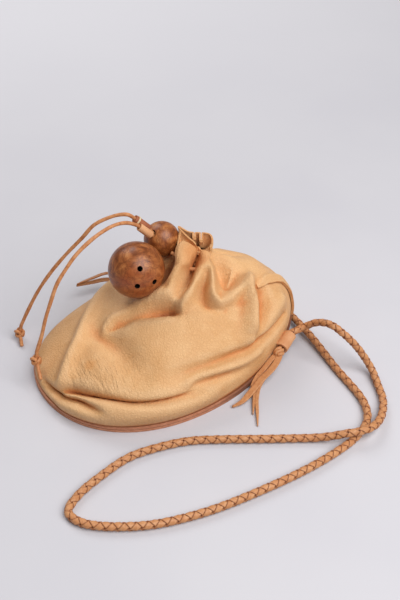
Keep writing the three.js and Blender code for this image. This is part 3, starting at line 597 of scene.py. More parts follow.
def in_second_finish(piece):
    """All faces of the piece take its second finish."""
    piece.data.polygons.foreach_set("material_index", np.ones(len(piece.data.polygons), np.int32))
    return piece


def settle(piece, slot, *nodes):
    """The piece rides on the bag and stands for its CAD nodes; slot is not used."""
    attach(piece, "root")
    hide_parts(*nodes)
    return piece


def note_points(piece, name, values):
    """Keeps one number per vertex on the piece for its finish."""
    kept = piece.data.attributes.new(name, "FLOAT", "POINT")
    kept.data.foreach_set("value", np.asarray(values, np.float32))


def drop(thing):
    mesh = thing.data
    bpy.data.objects.remove(thing)
    if mesh.users == 0 and isinstance(mesh, bpy.types.Mesh):
        bpy.data.meshes.remove(mesh)


def shaped(thing, name):
    """Plain mesh of an object with its modifiers worked in; the object is removed."""
    seen = thing.evaluated_get(bpy.context.evaluated_depsgraph_get())
    mesh = bpy.data.meshes.new_from_object(seen)
    mesh.name = name
    drop(thing)
    return mesh


# node trees

def math_on(operation, turned=False):
    """Method that adds a Math node for a socket and another value, in turned order for 1 - socket."""
    def work(wire, other):
        a, b = (other, wire) if turned else (wire, other)
        return wire.bench.node("ShaderNodeMath", {"operation": operation}, {0: a, 1: b})
    return work


class Wire:
    """One socket in a node tree. Arithmetic on it adds Math nodes."""

    def __init__(self, bench, socket):
        self.bench = bench
        self.socket = socket

    __add__ = __radd__ = math_on("ADD")
    __sub__ = math_on("SUBTRACT")
    __rsub__ = math_on("SUBTRACT", turned=True)
    __mul__ = __rmul__ = math_on("MULTIPLY")
    __truediv__ = math_on("DIVIDE")
    __rtruediv__ = math_on("DIVIDE", turned=True)
    __pow__ = math_on("POWER")
    __rpow__ = math_on("POWER", turned=True)
    at_least = math_on("MAXIMUM")
    at_most = math_on("MINIMUM")

    def of(self, operation):
        return self.bench.node("ShaderNodeMath", {"operation": operation}, {0: self})

    def between(self, low, high, to_low=0, to_high=1):
        """The value moved from one range to another, eased and held at the ends."""
        return self.bench.node("ShaderNodeMapRange", {"interpolation_type": "SMOOTHSTEP", "clamp": True},
                               {0: self, 1: low, 2: high, 3: to_low, 4: to_high})

    def other(self, output):
        return Wire(self.bench, self.socket.node.outputs[output])


class Bench:
    """Adds nodes to one tree."""

    def __init__(self, tree):
        self.tree = tree

    def node(self, kind, settings=None, sockets=None, out=0):
        """One node: its settings first, then the values or links of its sockets."""
        made = self.tree.nodes.new(kind)
        for key, value in (settings or {}).items():
            if key == "stops":
                self.set_stops(made.color_ramp, value)
            else:
                setattr(made, key, value)
        for key, value in (sockets or {}).items():
            self.feed(made.inputs[key], value)
        return Wire(self, made.outputs[out]) if len(made.outputs) else made

    def feed(self, socket, value):
        if isinstance(value, Wire):
            self.tree.links.new(value.socket, socket)
        elif isinstance(value, (tuple, list)) and len(value) == 3 and socket.type == "RGBA":
            socket.default_value = (*value, 1)
        else:
            socket.default_value = value

    @staticmethod
    def set_stops(ramp, stops):
        while len(ramp.elements) > 1:
            ramp.elements.remove(ramp.elements[-1])
        for i, (place, colour) in enumerate(stops):
            stop = ramp.elements[0] if i == 0 else ramp.elements.new(place)
            stop.position = place
            stop.color = (*colour, 1)

    def mix(self, share, a, b):
        """Colour a turned towards colour b."""
        settings = {"data_type": "RGBA", "blend_type": "MIX", "clamp_factor": True}
        return self.node("ShaderNodeMix", settings, {0: share, 6: a, 7: b}, out=2)

    def vector(self, operation, a, b=None, scale=None):
        sockets = {0: a}
        if b is not None:
            sockets[1] = b
        if scale is not None:
            sockets[3] = scale
        out = 1 if operation in ("LENGTH", "DISTANCE", "DOT_PRODUCT") else 0
        return self.node("ShaderNodeVectorMath", {"operation": operation}, sockets, out)


def tone(r, g, b):
    """Linear colour from 0 to 255 values as seen on a screen."""
    return tuple((c / 255 / 12.92) if c < 11 else ((c / 255 + 0.055) / 1.055) ** 2.4 for c in (r, g, b))


class Finish(Bench):
    """A procedural material on Object coordinates, with the colour that it has so far."""

    def __init__(self, name, **constants):
        self.material = bpy.data.materials.new(name)
        self.material.use_nodes = True
        super().__init__(self.material.node_tree)
        self.surface = next(n for n in self.tree.nodes if n.type == "BSDF_PRINCIPLED")
        for socket, value in constants.items():
            self.set(socket.replace("_", " "), value)
        self.place = self.node("ShaderNodeTexCoord", out="Object")
        self.colour = None

    def set(self, socket, value):
        self.feed(self.surface.inputs[socket], value)

    def note(self, name):
        return self.node("ShaderNodeAttribute", {"attribute_name": name}, out="Fac")

    def moved(self, scale, turn):
        return self.node("ShaderNodeMapping", None, {"Vector": self.place, "Scale": scale, "Rotation": turn})

    def noise(self, scale, detail=3, rough=0.55, bend=0, at=None, out="Fac"):
        return self.node("ShaderNodeTexNoise", {"noise_dimensions": "3D"},
                         {"Vector": at or self.place, "Scale": scale, "Detail": detail, "Roughness": rough,
                          "Distortion": bend}, out)

    def cells(self, scale, at=None, feature="DISTANCE_TO_EDGE"):
        return self.node("ShaderNodeTexVoronoi", {"feature": feature},
                         {"Vector": at or self.place, "Scale": scale}, "Distance")

    def bump(self, height, depth_mm, strength, under=None):
        sockets = {"Strength": strength, "Distance": depth_mm * MM, "Height": height}
        if under is not None:
            sockets["Normal"] = under
        return self.node("ShaderNodeBump", None, sockets)

    def ground(self, share, light, dark):
        """First colour, between two tones."""
        self.colour = self.mix(share, tone(*light), tone(*dark))

    def tint(self, share, r, g, b):
        """Turns the colour so far towards a tone."""
        self.colour = self.mix(share, self.colour, tone(r, g, b))

    def done(self, rough=None, normal=None):
        """Feeds the surface what changes over it, and gives the material back."""
        for socket, value in (("Base Color", self.colour), ("Roughness", rough), ("Normal", normal)):
            if value is not None:
                self.set(socket, value)
        return self.material


# finishes

def pouch_leather():
    f = Finish("pouch_leather", Specular_IOR_Level=0.32)
    hollow = f.note("hollow")
    f.ground(f.noise(22, 4, 0.6).between(0.35, 0.68), (228, 180, 127), (217, 165, 109))
    f.tint(f.noise(75, 3, 0.6).between(0.42, 0.7) * 0.5, 234, 190, 137)
    # painted shade: where the painted shade value is high, in hollows and marked shadowed spots, the leather
    # turns orange-brown, then dark brown, then near black; where it runs below zero, on ridges, it turns
    # paler
    f.tint(hollow.between(0.1, 1.4) * 0.7, 206, 124, 62)
    f.tint(hollow.between(1.1, 2.6) * 0.75, 146, 74, 34)
    f.tint(hollow.between(3, 5), 34, 18, 10)
    f.tint(hollow.between(-0.08, -0.6) * 0.4, 232, 194, 148)
    stain = f.vector("DISTANCE", f.place, STAIN_AT) + f.noise(300, 2) * (4 * MM)
    f.tint(stain.between(9 * MM, 4 * MM) * 0.4, 216, 140, 62)
    pebble = f.cells(430)
    f.tint((1 - pebble.between(0, 0.22)) * 0.15, 186, 124, 72)
    pores = f.cells(900)
    f.tint((1 - pores.between(0.02, 0.14)) * 0.22, 178, 116, 66)
    grain = f.noise(620, 3, 0.6)
    stretched = f.moved(scale=(330, 60, 75), turn=(0, 0, math.radians(24)))
    wrinkle = f.noise(1, 2, 0.5, 0.6, at=stretched) * f.note("crinkle")
    soft = f.bump(f.noise(160, 3, 0.6) + pebble.between(0, 0.3) * 0.5, 0.6, 0.6)
    crinkled = f.bump(wrinkle, 2.2, 0.9, under=soft)
    fine = pores.between(0, 0.2) * 0.35 + grain * 0.4
    return f.done(grain.between(0.3, 0.7, 0.5, 0.66), f.bump(fine, 0.22, 0.6, under=crinkled))


def cut_edge():
    f = Finish("cut_leather_edge", Specular_IOR_Level=0.2)
    fibre = f.noise(420, 4, 0.7)
    f.ground(fibre.between(0.3, 0.7), (218, 166, 114), (198, 138, 88))
    return f.done(fibre.between(0.3, 0.7, 0.75, 0.9), f.bump(fibre, 0.3, 0.5))


def base_leather():
    f = Finish("base_leather", Specular_IOR_Level=0.3)
    split = f.node("ShaderNodeSeparateXYZ", None, {0: f.place})
    along = split.other("X")
    to_end = (along - CURL_FROM * MM) / ((HALF_LENGTH - CURL_FROM) * MM)
    height = split.other("Z") - to_end.at_least(0).at_most(1) ** CURL_POWER * (CURL * MM)
    wobble = f.noise(120, 2, 0.5) * (0.5 * MM)
    layers = ((height + wobble) * (TURN / (1.15 * MM))).of("SINE")
    fibre = f.noise(300, 4, 0.65)
    f.ground(fibre.between(0.3, 0.7), (214, 152, 118), (194, 128, 94))
    f.tint(layers.between(0.2, 0.95) * 0.6, 150, 92, 66)
    # painted shade: the base turns dark brown towards its curled right end, whose edge faces down
    f.tint(along.between(-15 * MM, 45 * MM) * 0.75, 88, 46, 30)
    return f.done(fibre.between(0.3, 0.7, 0.55, 0.75), f.bump(layers * 0.5 + fibre, 0.25, 0.5))


def lace_leather():
    f = Finish("lace_leather", Specular_IOR_Level=0.35)
    streak = f.noise(260, 4, 0.6, 0.4)
    f.ground(streak.between(0.35, 0.68), (206, 142, 92), (176, 110, 64))
    f.tint(f.noise(60, 3, 0.6).between(0.5, 0.72) * 0.6, 218, 160, 112)
    return f.done(streak.between(0.3, 0.7, 0.45, 0.62), f.bump(streak, 0.3, 0.5))


def strap_leather():
    f = Finish("strap_leather", Specular_IOR_Level=0.4)
    streak = f.noise(420, 4, 0.6, 0.5)
    f.ground(streak.between(0.3, 0.7), (206, 150, 102), (188, 124, 76))
    f.tint(f.noise(45, 3, 0.6).between(0.45, 0.7) * 0.5, 196, 132, 84)
    # painted shade: dark brown in the crevices between the strands, and over the whole rear tassel
    f.tint(f.note("depth").between(0.25, 1), 112, 58, 28)
    f.tint(f.note("edge").between(0.84, 1) * 0.75, 120, 60, 28)
    return f.done(streak.between(0.3, 0.7, 0.42, 0.58), f.bump(streak, 0.2, 0.5))


def loop_leather(name, light, dark):
    f = Finish(name, Specular_IOR_Level=0.35)
    grain = f.noise(520, 4, 0.65)
    f.ground(f.noise(70, 4, 0.6).between(0.35, 0.68), light, dark)
    f.tint(grain.between(0.55, 0.75) * 0.35, 184, 120, 78)
    return f.done(grain.between(0.3, 0.7, 0.48, 0.62), f.bump(grain, 0.2, 0.5))


def ball_wood():
    f = Finish("ball_wood", Specular_IOR_Level=0.4, Coat_Roughness=0.3)
    swirl = f.noise(75, 5, 0.62, 1.8)
    cloud = f.noise(26, 3, 0.55, 0.6)
    bent = f.vector("ADD", f.place, f.vector("SCALE", f.noise(90, 3, 0.6, out="Color"), scale=0.016))
    eyes = f.cells(85, at=bent, feature="F1")
    veins = f.cells(150, at=bent)
    fine = f.noise(700, 3, 0.6)
    f.colour = f.node("ShaderNodeValToRGB", {"stops": [
        (0.3, tone(100, 48, 20)), (0.45, tone(144, 80, 38)), (0.58, tone(172, 104, 54)),
        (0.74, tone(198, 136, 80)),
    ]}, {0: swirl})
    f.tint(cloud.between(0.46, 0.68) * 0.65, 150, 68, 26)
    f.tint((1 - eyes.between(0, 0.3)) * 0.5, 100, 44, 18)
    f.tint((1 - veins.between(0.01, 0.09)) * 0.4, 84, 40, 16)
    f.tint(fine.between(0.58, 0.75) * 0.3, 92, 44, 20)
    f.set("Coat Weight", cloud.between(0.2, 0.8, 0.06, 0.14))
    return f.done(swirl.between(0.3, 0.7, 0.32, 0.44), f.bump(fine * 0.4 + swirl, 0.15, 0.35))


def bored_wood():
    f = Finish("bored_wood", Specular_IOR_Level=0.1, Roughness=0.9)
    # painted shade: the walls of the drilled holes are near black, as shadowed holes
    f.ground(f.noise(500, 3, 0.6).between(0.3, 0.7), (20, 10, 6), (10, 5, 3))
    return f.done()


def pale_thread():
    f = Finish("pale_thread", Specular_IOR_Level=0.3)
    twist = f.noise(1500, 2, 0.6)
    f.ground(twist.between(0.3, 0.7), (232, 214, 180), (206, 182, 142))
    return f.done(twist.between(0.3, 0.7, 0.6, 0.8), f.bump(twist, 0.15, 0.5))


def floor_cloth():
    f = Finish("floor_cloth", Specular_IOR_Level=0.2, Roughness=0.9)
    f.ground(f.noise(5, 3, 0.5).between(0.3, 0.7), (206, 204, 208), (202, 200, 205))
    # painted light: the floor cloth turns lighter towards the back
    f.tint(f.node("ShaderNodeSeparateXYZ", None, {0: f.place}).other("Y").between(0.1, 0.9), 232, 230, 234)
    return f.done(normal=f.bump(f.noise(900, 2, 0.6), 0.12, 0.3))


POUCH = pouch_leather()
EDGE = cut_edge()
BASE = base_leather()
LACE = lace_leather()
STRAP = strap_leather()
LOOP = loop_leather("loop_leather", (222, 168, 122), (204, 142, 96))
# painted shade: a darker copy of the loop leather for the slider's rear sleeve, which lies in shadow behind
# the front one
SHADED_LOOP = loop_leather("dark_loop_leather", (164, 98, 66), (132, 72, 46))
WOOD = ball_wood()
BORE_SHADE = bored_wood()
THREAD = pale_thread()


# camera

def set_camera():
    lens = bpy.data.cameras.new("photo_camera")
    lens.lens = LENS
    lens.sensor_width = SENSOR
    camera = placed("photo_camera", lens)
    camera.location = EYE
    camera.rotation_euler = TILT
    bpy.context.scene.camera = camera


# cords

def braid_tree():
    """Four flat strands laid round the line of a strap, over one and under the next."""
    tree = bpy.data.node_groups.new("round_braid", "GeometryNodeTree")
    face = tree.interface
    face.new_socket("Geometry", in_out="INPUT", socket_type="NodeSocketGeometry")
    for name in ("Pitch", "Lay Radius", "Over Under", "Strand Width", "Strand Thickness"):
        face.new_socket(name, in_out="INPUT", socket_type="NodeSocketFloat")
    face.new_socket("Finish", in_out="INPUT", socket_type="NodeSocketMaterial")
    face.new_socket("Geometry", in_out="OUTPUT", socket_type="NodeSocketGeometry")
    b = Bench(tree)
    line = b.node("NodeGroupInput")
    pitch, lay, over, width, thick, finish = (line.other(i) for i in range(1, 7))
    normal = b.node("GeometryNodeInputNormal")
    aside = b.vector("CROSS_PRODUCT", b.node("GeometryNodeInputTangent"), normal)
    swing = b.node("GeometryNodeSplineParameter", out="Length") * TURN / pitch
    wave = (swing * 2).of("SINE")
    disc = b.node("GeometryNodeCurvePrimitiveCircle", {"mode": "RADIUS"}, {"Resolution": 16, "Radius": 1.0})
    size = b.node("ShaderNodeCombineXYZ", None, {0: thick / 2, 1: width / 2, 2: 1.0})
    section = b.node("GeometryNodeTransform", None, {"Geometry": disc, "Scale": size})
    edge = (b.node("GeometryNodeSplineParameter", out="Factor") * TURN).of("SINE").of("ABSOLUTE")
    section = b.node("GeometryNodeStoreNamedAttribute", {"data_type": "FLOAT", "domain": "POINT"},
                     {"Geometry": section, "Name": "edge", "Value": edge})
    join = tree.nodes.new("GeometryNodeJoinGeometry")
    for strand in range(STRANDS):
        way = 1 if strand % 2 == 0 else -1
        turn = swing * way + strand * TURN / STRANDS
        out = b.vector("ADD", b.vector("SCALE", normal, scale=turn.of("COSINE")),
                       b.vector("SCALE", aside, scale=turn.of("SINE")))
        kept = b.node("GeometryNodeStoreNamedAttribute", {"data_type": "FLOAT_VECTOR", "domain": "POINT"},
                      {"Geometry": line, "Name": "outward", "Value": out})
        offset = b.vector("SCALE", out, scale=lay + wave * over * way)
        put = b.node("GeometryNodeSetPosition", None, {"Geometry": kept, "Offset": offset})
        outward = b.node("GeometryNodeInputNamedAttribute", {"data_type": "FLOAT_VECTOR"},
                         {"Name": "outward"})
        faced = b.node("GeometryNodeSetCurveNormal", {"mode": "FREE"}, {"Curve": put, "Normal": outward})
        body = b.node("GeometryNodeCurveToMesh", None,
                      {"Curve": faced, "Profile Curve": section, "Fill Caps": True})
        tree.links.new(body.socket, join.inputs[0])
    real = b.node("GeometryNodeRealizeInstances", None, {0: Wire(b, join.outputs[0])})
    done = b.node("GeometryNodeSetMaterial", None, {"Geometry": real, "Material": finish})
    b.node("NodeGroupOutput", None, {0: done})
    return tree


def line_object(name, path):
    curve = bpy.data.curves.new(name, "CURVE")
    curve.dimensions = "3D"
    spline = curve.splines.new("POLY")
    spline.points.add(len(path) - 1)
    spline.points.foreach_set("co", np.hstack([path * MM, np.ones((len(path), 1))]).ravel())
    return placed(name, curve)


def grow(thing, tree, **values):
    """Adds a node tree to an object and sets its inputs by their identifiers."""
    modifier = thing.modifiers.new(tree.name, "NODES")
    modifier.node_group = tree
    for item in tree.interface.items_tree:
        key = item.name.lower().replace(" ", "_")
        if item.in_out == "INPUT" and key in values:
            modifier[item.identifier] = values[key]


def braided_strap():
    half = TAB_LENGTH / 2
    path = smooth_route([
        *(ahead(TAB_RIGHT_AT, TAB_RIGHT_AXIS, d) for d in (-half, 0, half + STRAP_CLEAR)), *STRAP_ROUTE,
        *(ahead(TAB_BACK_AT, TAB_BACK_AXIS, d) for d in (half + STRAP_CLEAR, 0, -half)),
    ], STRAP_STEP)
    line = line_object("strap_line", path)
    grow(line, braid_tree(), pitch=BRAID_PITCH * MM, lay_radius=BRAID_LAY * MM, over_under=BRAID_OVER * MM,
         strand_width=STRAND_WIDTH * MM, strand_thickness=STRAND_THICK * MM, finish=STRAP)
    piece = link_piece("braided_strap", shaped(line, "braided_strap"), STRAP)
    points = np.zeros(len(piece.data.vertices) * 3)
    piece.data.vertices.foreach_get("co", points)
    _, gap = nearest(points.reshape(-1, 3) / MM, path[::2])
    # painted shade: 1 in the crevices between the strands, where the colour turns dark brown
    note_points(piece, "depth", np.clip((STRAND_TOP - np.sqrt(gap)) / STRAND_DEEP, 0, 1))
    settle(piece, "strap_leather", "strap")
    return piece, path


def lace(name, node, route):
    path = smooth_route(route, LACE_STEP)
    run = np.linspace(0, line_length(path), len(path))
    radius = LACE_R * (1 + sum(share * np.sin(run / length + start) for share, length, start in LACE_UNEVEN))
    piece = new_piece(name, *round_tube(path, radius, LACE_SIDES, blunt=0.3), LACE)
    settle(piece, "lace_leather", node)
    return piece, path


def crown_path(at, axis, ring, swell, rise):
    """Closed line of a knot that goes twice round an axis and swells three times."""
    k = np.arange(KNOT_STEPS) / KNOT_STEPS * TURN
    flat = (ring + swell * np.cos(3 * k))[:, None] * circle(2 * k, *across(axis))
    return np.asarray(at, float) + flat + (rise * np.sin(3 * k))[:, None] * unit(axis)


def lace_knot(name, node, knot):
    at, axis, tip = (np.asarray(knot[k], float) for k in ("at", "axis", "tip"))
    core = smooth_route([*(ahead(at, axis, d) for d in KNOT_CORE),
                         at + (tip - at) * 0.35, (at + tip) / 2, tip], 1.2)
    wrap = crown_path(at, axis, KNOT_RING, KNOT_SWELL, KNOT_RISE)
    piece = new_piece(name, *joined([
        round_tube(core, LACE_R, LACE_SIDES, blunt=0.25),
        round_tube(wrap, KNOT_LACE_R, 12, closed=True),
    ]), LACE)
    return settle(piece, "lace_leather", node)


def blunted(x):
    """Side of a circle pushed out towards a square's."""
    return np.sign(x) * np.abs(x) ** 0.6


def flat_strip(route, width):
    """Strip of leather along a route, lying level, cupped and narrowing to its tip."""
    path = smooth_route(route, STRIP_STEP)
    along = unit(np.gradient(path, axis=0))
    level = unit(np.stack([-along[:, 1], along[:, 0], np.zeros(len(along))], axis=1))
    up = np.cross(along, level)
    k = np.linspace(0, 1, len(path))
    shrink = 1 - STRIP_TAPER * np.clip((k - STRIP_TAPER_FROM) / (1 - STRIP_TAPER_FROM), 0, 1) ** 1.5
    a = np.arange(STRIP_SIDES) * TURN / STRIP_SIDES
    wide, rise = blunted(np.cos(a)), blunted(np.sin(a))
    cup = (wide ** 2)[None, :] * STRIP_CUP + STRIP_WAVE * np.sin(k * STRIP_WAVES)[:, None]
    rings = path[:, None] + level[:, None] * (wide[None, :, None] * width / 2 * shrink[:, None, None])
    rings = rings + up[:, None] * (rise[None, :] * STRIP_THICK / 2 + cup - STRIP_SINK)[..., None]
    return skinned_rings(rings)


def strap_tassel(name, node, head, axis, strips, shade):
    """Knot of five twisted lumps round a core, with loose strips."""
    s = np.linspace(-1, 1, 11)
    bulge = TASSEL_WAIST + TASSEL_BULGE * np.sqrt(1 - 0.85 * s * s)
    core = np.array([ahead(head, axis, d) for d in TASSEL_CORE])
    parts = [round_tube(core, TASSEL_CORE_R, 14)]
    for lump in range(TASSEL_LUMPS):
        ring = circle(lump * TURN / TASSEL_LUMPS + TASSEL_TWIST * s, *across(axis))
        line = head + unit(axis) * (TASSEL_HALF * s)[:, None] + bulge[:, None] * ring
        parts.append(round_tube(line, LUMP_R - LUMP_THINS * s * s, 12, blunt=0.9))
    parts += [flat_strip([head, *route], width) for width, route in strips]
    piece = new_piece(name, *joined(parts), STRAP)
    # painted shade: the whole tassel is darkened by its shade value, for the rear one that lies in shadow
    note_points(piece, "depth", np.full(len(piece.data.vertices), shade))
    return settle(piece, "strap_leather", node)


def sleeve_ends():
    axis = unit(SLEEVE_AXIS)
    side = np.asarray(SLEEVE_SIDE, float)
    side = unit(side - axis * np.dot(side, axis))
    return axis, side, SLEEVE_AT, SLEEVE_AT + side * SLEEVE_PITCH + axis * REAR_SLEEVE_SHIFT


def tail_route(sleeve_at, sleeve_length, route, knot):
    axis = unit(SLEEVE_AXIS)
    start = [sleeve_at + axis * d
             for d in (TAIL_INSIDE, sleeve_length - TAIL_TO_END, sleeve_length + TAIL_PAST_END)]
    return [*start, *route, *(ahead(knot["at"], knot["axis"], d) for d in TAIL_TO_KNOT)]


def make_cords():
    strap, strap_path = braided_strap()
    behind = -TAB_LENGTH / 2 - LAYER_GAP - TASSEL_HEAD
    tassels = [
        strap_tassel(name, node, ahead(at, axis, behind), axis, strips, shade)
        for name, node, at, axis, strips, shade in (
            # the last number is the painted shade over the whole tassel: none at the front, darker at the
            # rear, in shadow
            ("strap_tassel_front", "strap_tassel_right", TAB_RIGHT_AT, TAB_RIGHT_AXIS, TASSEL_RIGHT, 0),
            ("strap_tassel_rear", "strap_tassel_back", TAB_BACK_AT, TAB_BACK_AXIS, TASSEL_BACK, 0.55),
        )
    ]
    line_length(strap_path) * MM
    _, _, front, rear = sleeve_ends()
    for tail, at, length, route, knot in (("upper", rear, REAR_SLEEVE_LENGTH, TAIL_UPPER_ROUTE, KNOT_UPPER),
                                          ("lower", front, SLEEVE_LENGTH, TAIL_LOWER_ROUTE, KNOT_LOWER)):
        piece, path = lace("lace_tail_" + tail, "drawcord_tail_" + tail, tail_route(at, length, route, knot))
        end = lace_knot("lace_knot_" + tail, "tail_knot_" + tail, knot)
        line_length(path) * MM


# pouch

def outline(t, inset):
    """Egg-shaped outline of the base, drawn in by inset."""
    half = np.where(np.sin(t) > 0, HALF_BACK, HALF_FRONT)
    return (HALF_LENGTH - inset) * np.cos(t), (half - inset) * (1 + EGG * np.cos(t)) * np.sin(t)


def degrees_off(deg, at):
    """Angle from a direction, the short way round."""
    return np.mod(deg - at + 180, 360) - 180


def catmull(a, b, c, d, k):
    return 0.5 * (2 * b + (c - a) * k + (2 * a - 5 * b + 4 * c - d) * k ** 2
                  + (3 * b - a - 3 * c + d) * k ** 3)


def meridian(t):
    n = len(MERIDIANS)
    f = np.mod(t / TURN * n, n)
    i = np.floor(f).astype(int) % n
    rows = [MERIDIANS[(i + s) % n, 1:] for s in (-1, 0, 1, 2)]
    return np.moveaxis(catmull(*rows, (f - np.floor(f))[..., None]), -1, 0)


def bezier(a, b, c, d, k):
    j = 1 - k
    return a * j ** 3 + b * 3 * j * j * k + c * 3 * j * k * k + d * k ** 3


def stack(x, y, z):
    return np.stack(np.broadcast_arrays(x, y, z), axis=-1)


def skin(t, v):
    """Smooth skin of the pouch without its folds."""
    up, out_low, out_high, fall = meridian(t)
    fx, fy = outline(t, FOOT_INSET)
    foot = stack(fx, fy, FOOT_Z + curl(fx))
    around = stack(np.cos(t), np.sin(t), 0 * t)
    neck = np.array(NECK) + around * (*NECK_RADII, 0)
    out = unit(stack(fx - neck[..., 0], fy - neck[..., 1], 0 * t))
    low = foot + out * out_low[..., None] + stack(0 * t, 0 * t, up)
    high = neck + out * out_high[..., None] - stack(0 * t, 0 * t, fall)
    body = bezier(foot, low, high, neck, np.clip(v / NECK_V, 0, 1)[..., None])
    over = np.clip(v - NECK_V, 0, 1)[..., None]
    return body + (neck - high + NECK_RISE) * over


def skin_normal(t, v):
    e = 0.01
    along = skin(t + e, v) - skin(t - e, v)
    up = skin(t, np.minimum(1, v + e)) - skin(t, np.maximum(0, v - e))
    return unit(np.cross(along, up))


def fold_samples(rows):
    """Close points of a fold line on the skin, with its height, half width and droop."""
    rows = np.array([(*row, 0)[:5] for row in rows], float)
    rows = np.vstack([rows[:1], rows, rows[-1:]])
    k = np.linspace(0, 1, 16, endpoint=False)[:, None]
    fine = np.vstack([catmull(*rows[i:i + 4], k) for i in range(len(rows) - 3)] + [rows[-1:]])
    return skin(np.radians(fine[:, 0]), fine[:, 1]), fine[:, 2], fine[:, 3], fine[:, 4]


def add_folds(points):
    """Height along the skin's normal and droop of all folds at the given points."""
    flat = points.reshape(-1, 3)
    height = np.zeros(len(flat))
    droop = np.zeros(len(flat))
    for rows in FOLDS.values():
        line, high, wide, sag = fold_samples(rows)
        near, best = nearest(flat, line)
        share = np.exp(-best / wide[near] ** 2)
        height += high[near] * share
        droop += sag[near] * share
    return height.reshape(points.shape[:-1]), droop.reshape(points.shape[:-1])


def folded(t, v):
    """Skin with its folds and fine gathers."""
    base = skin(t, v)
    height, droop = add_folds(base)
    gather = np.sin(GATHERS * t + GATHER_SWAY * np.sin(GATHER_SWAYS * t) + GATHER_TWIST * v)
    gather = gather * GATHER_HIGH * ease((v - GATHER_FROM) / GATHER_SPAN)
    p = base + skin_normal(t, v) * (height + gather)[..., None]
    p[..., 2] -= droop * ease(v / DROOP_SPAN)
    return p


def round_table(table, t):
    """Point of the mouth from a table that goes round it, and what else the row holds, in any direction."""
    once = np.zeros(table.shape[1])
    once[0] = 360
    rows = np.vstack([table[-2:] - once, table, table[:3] + once])
    deg = np.mod(np.degrees(t) - TABLE_START, 360) + TABLE_START
    i = np.clip(np.searchsorted(rows[:, 0], deg, side="right") - 1, 1, len(rows) - 3)
    before, a, b, after = (rows[i + k] for k in (-1, 0, 1, 2))
    span = (b - a)[..., :1]
    out = (b - before) / (b - before)[..., :1] * span
    into = (after - a) / (after - a)[..., :1] * span
    row = cubic(a, b, out, into, (deg[..., None] - a[..., :1]) / span)
    point = MOUTH_AT + row[..., 1:2] * MOUTH_RIGHT + row[..., 2:3] * MOUTH_BACK + row[..., 3:4] * UP
    return point, row[..., 4:]


def collar(t, v):
    """Gathered collar from the folded neck up to the crest, then over the front pleats to the rim."""
    edge = np.full_like(t, NECK_V)
    neck = folded(t, edge)
    lead = unit(neck - folded(t, edge - 0.02))
    crest, roll = round_table(CREST, t)
    rim, _ = round_table(RIM, t)
    out = stack(np.cos(t), np.sin(t), 0 * t)
    roll = np.clip(roll, 0, 1)
    into_crest = crest - UP * (CREST_HANDLE - CREST_FLAT * roll) + out * ROLL_OUT * roll
    from_crest = crest + UP * (RIM_HANDLE - (RIM_HANDLE + 0.5 * ROLL_DEEP) * roll) - out * ROLL_IN * roll
    into_rim = rim - UP * (RIM_HANDLE + ROLL_DEEP * roll)
    low = bezier(neck, neck + lead * COLLAR_LEAD, into_crest, crest,
                 np.clip((v - NECK_V) / (CREST_V - NECK_V), 0, 1)[..., None])
    high = bezier(crest, from_crest, into_rim, rim, np.clip((v - CREST_V) / (1 - CREST_V), 0, 1)[..., None])
    return np.where((v < CREST_V)[..., None], low, high)


def seam_line(v):
    """Direction of the lapped seam, with softened corners."""
    i = np.clip(np.searchsorted(SEAM[:, 0], v, side="right") - 1, 0, len(SEAM) - 2)
    k = (v - SEAM[i, 0]) / (SEAM[i + 1, 0] - SEAM[i, 0])
    k = ease(k) * 0.4 + 0.6 * k
    return np.radians(SEAM[i, 1] + (SEAM[i + 1, 1] - SEAM[i, 1]) * k)


def column_shares():
    """Shares of the way round for the columns, closer together at the front."""
    fine = np.linspace(0, 1, 2001)
    off = degrees_off(COLUMNS_AT + 360 * fine, FRONT_AT)
    weight = np.cumsum(1 + np.exp(-(off / FRONT_WIDE) ** 2))
    weight = (weight - weight[0]) / (weight[-1] - weight[0])
    return np.interp(np.linspace(0, 1, SKIN_AROUND - LAP_COLUMNS + 1), weight, fine)


def grid_normals(p):
    along = np.gradient(p, axis=0)
    up = np.gradient(p, axis=1)
    return unit(np.cross(along, up))


def smeared(a, rounds, ring=False):
    """Evens out a grid of values, round the seam as well for a ring."""
    for _ in range(rounds):
        first, last = (a[-2:-1], a[1:2]) if ring else (a[:1], a[-1:])
        wide = np.concatenate([first, a, last])
        tall = np.concatenate([a[:, :1], a, a[:, -1:]], axis=1)
        a = (wide[:-2] + wide[2:] + tall[:, :-2] + tall[:, 2:] + 2 * a) / 6
    return a


def skin_grid():
    """Directions and shares of the way up of the skin's points, and how far the lap lifts them."""
    v = np.concatenate([np.linspace(0, NECK_V, SKIN_UP - COLLAR_ROWS, endpoint=False),
                        np.linspace(NECK_V, 1, COLLAR_ROWS + 1)])
    reach = FOOT_REACH + (MOUTH_REACH - FOOT_REACH) * ease(v / REACH_SPAN)
    lapped = 1 - ease((v - LAP_FADE_FROM) / LAP_FADE_SPAN)
    lap = (LAP_LEAST + (LAP - LAP_LEAST) * lapped) / reach
    ramp = LAP_RAMP / reach
    seam = seam_line(v)
    lead = np.linspace(0, 1, LAP_COLUMNS, endpoint=False)[:, None]
    rest = column_shares()[:, None]
    t = np.vstack([seam - lap + (lap + ramp) * lead, seam + ramp + (TURN - ramp) * rest])
    lift = (WALL + LAP_CLEAR) * (1 - ease((t - seam - LAP_FLAT * ramp) / ramp)) * lapped
    return t, np.broadcast_to(v, t.shape), lift


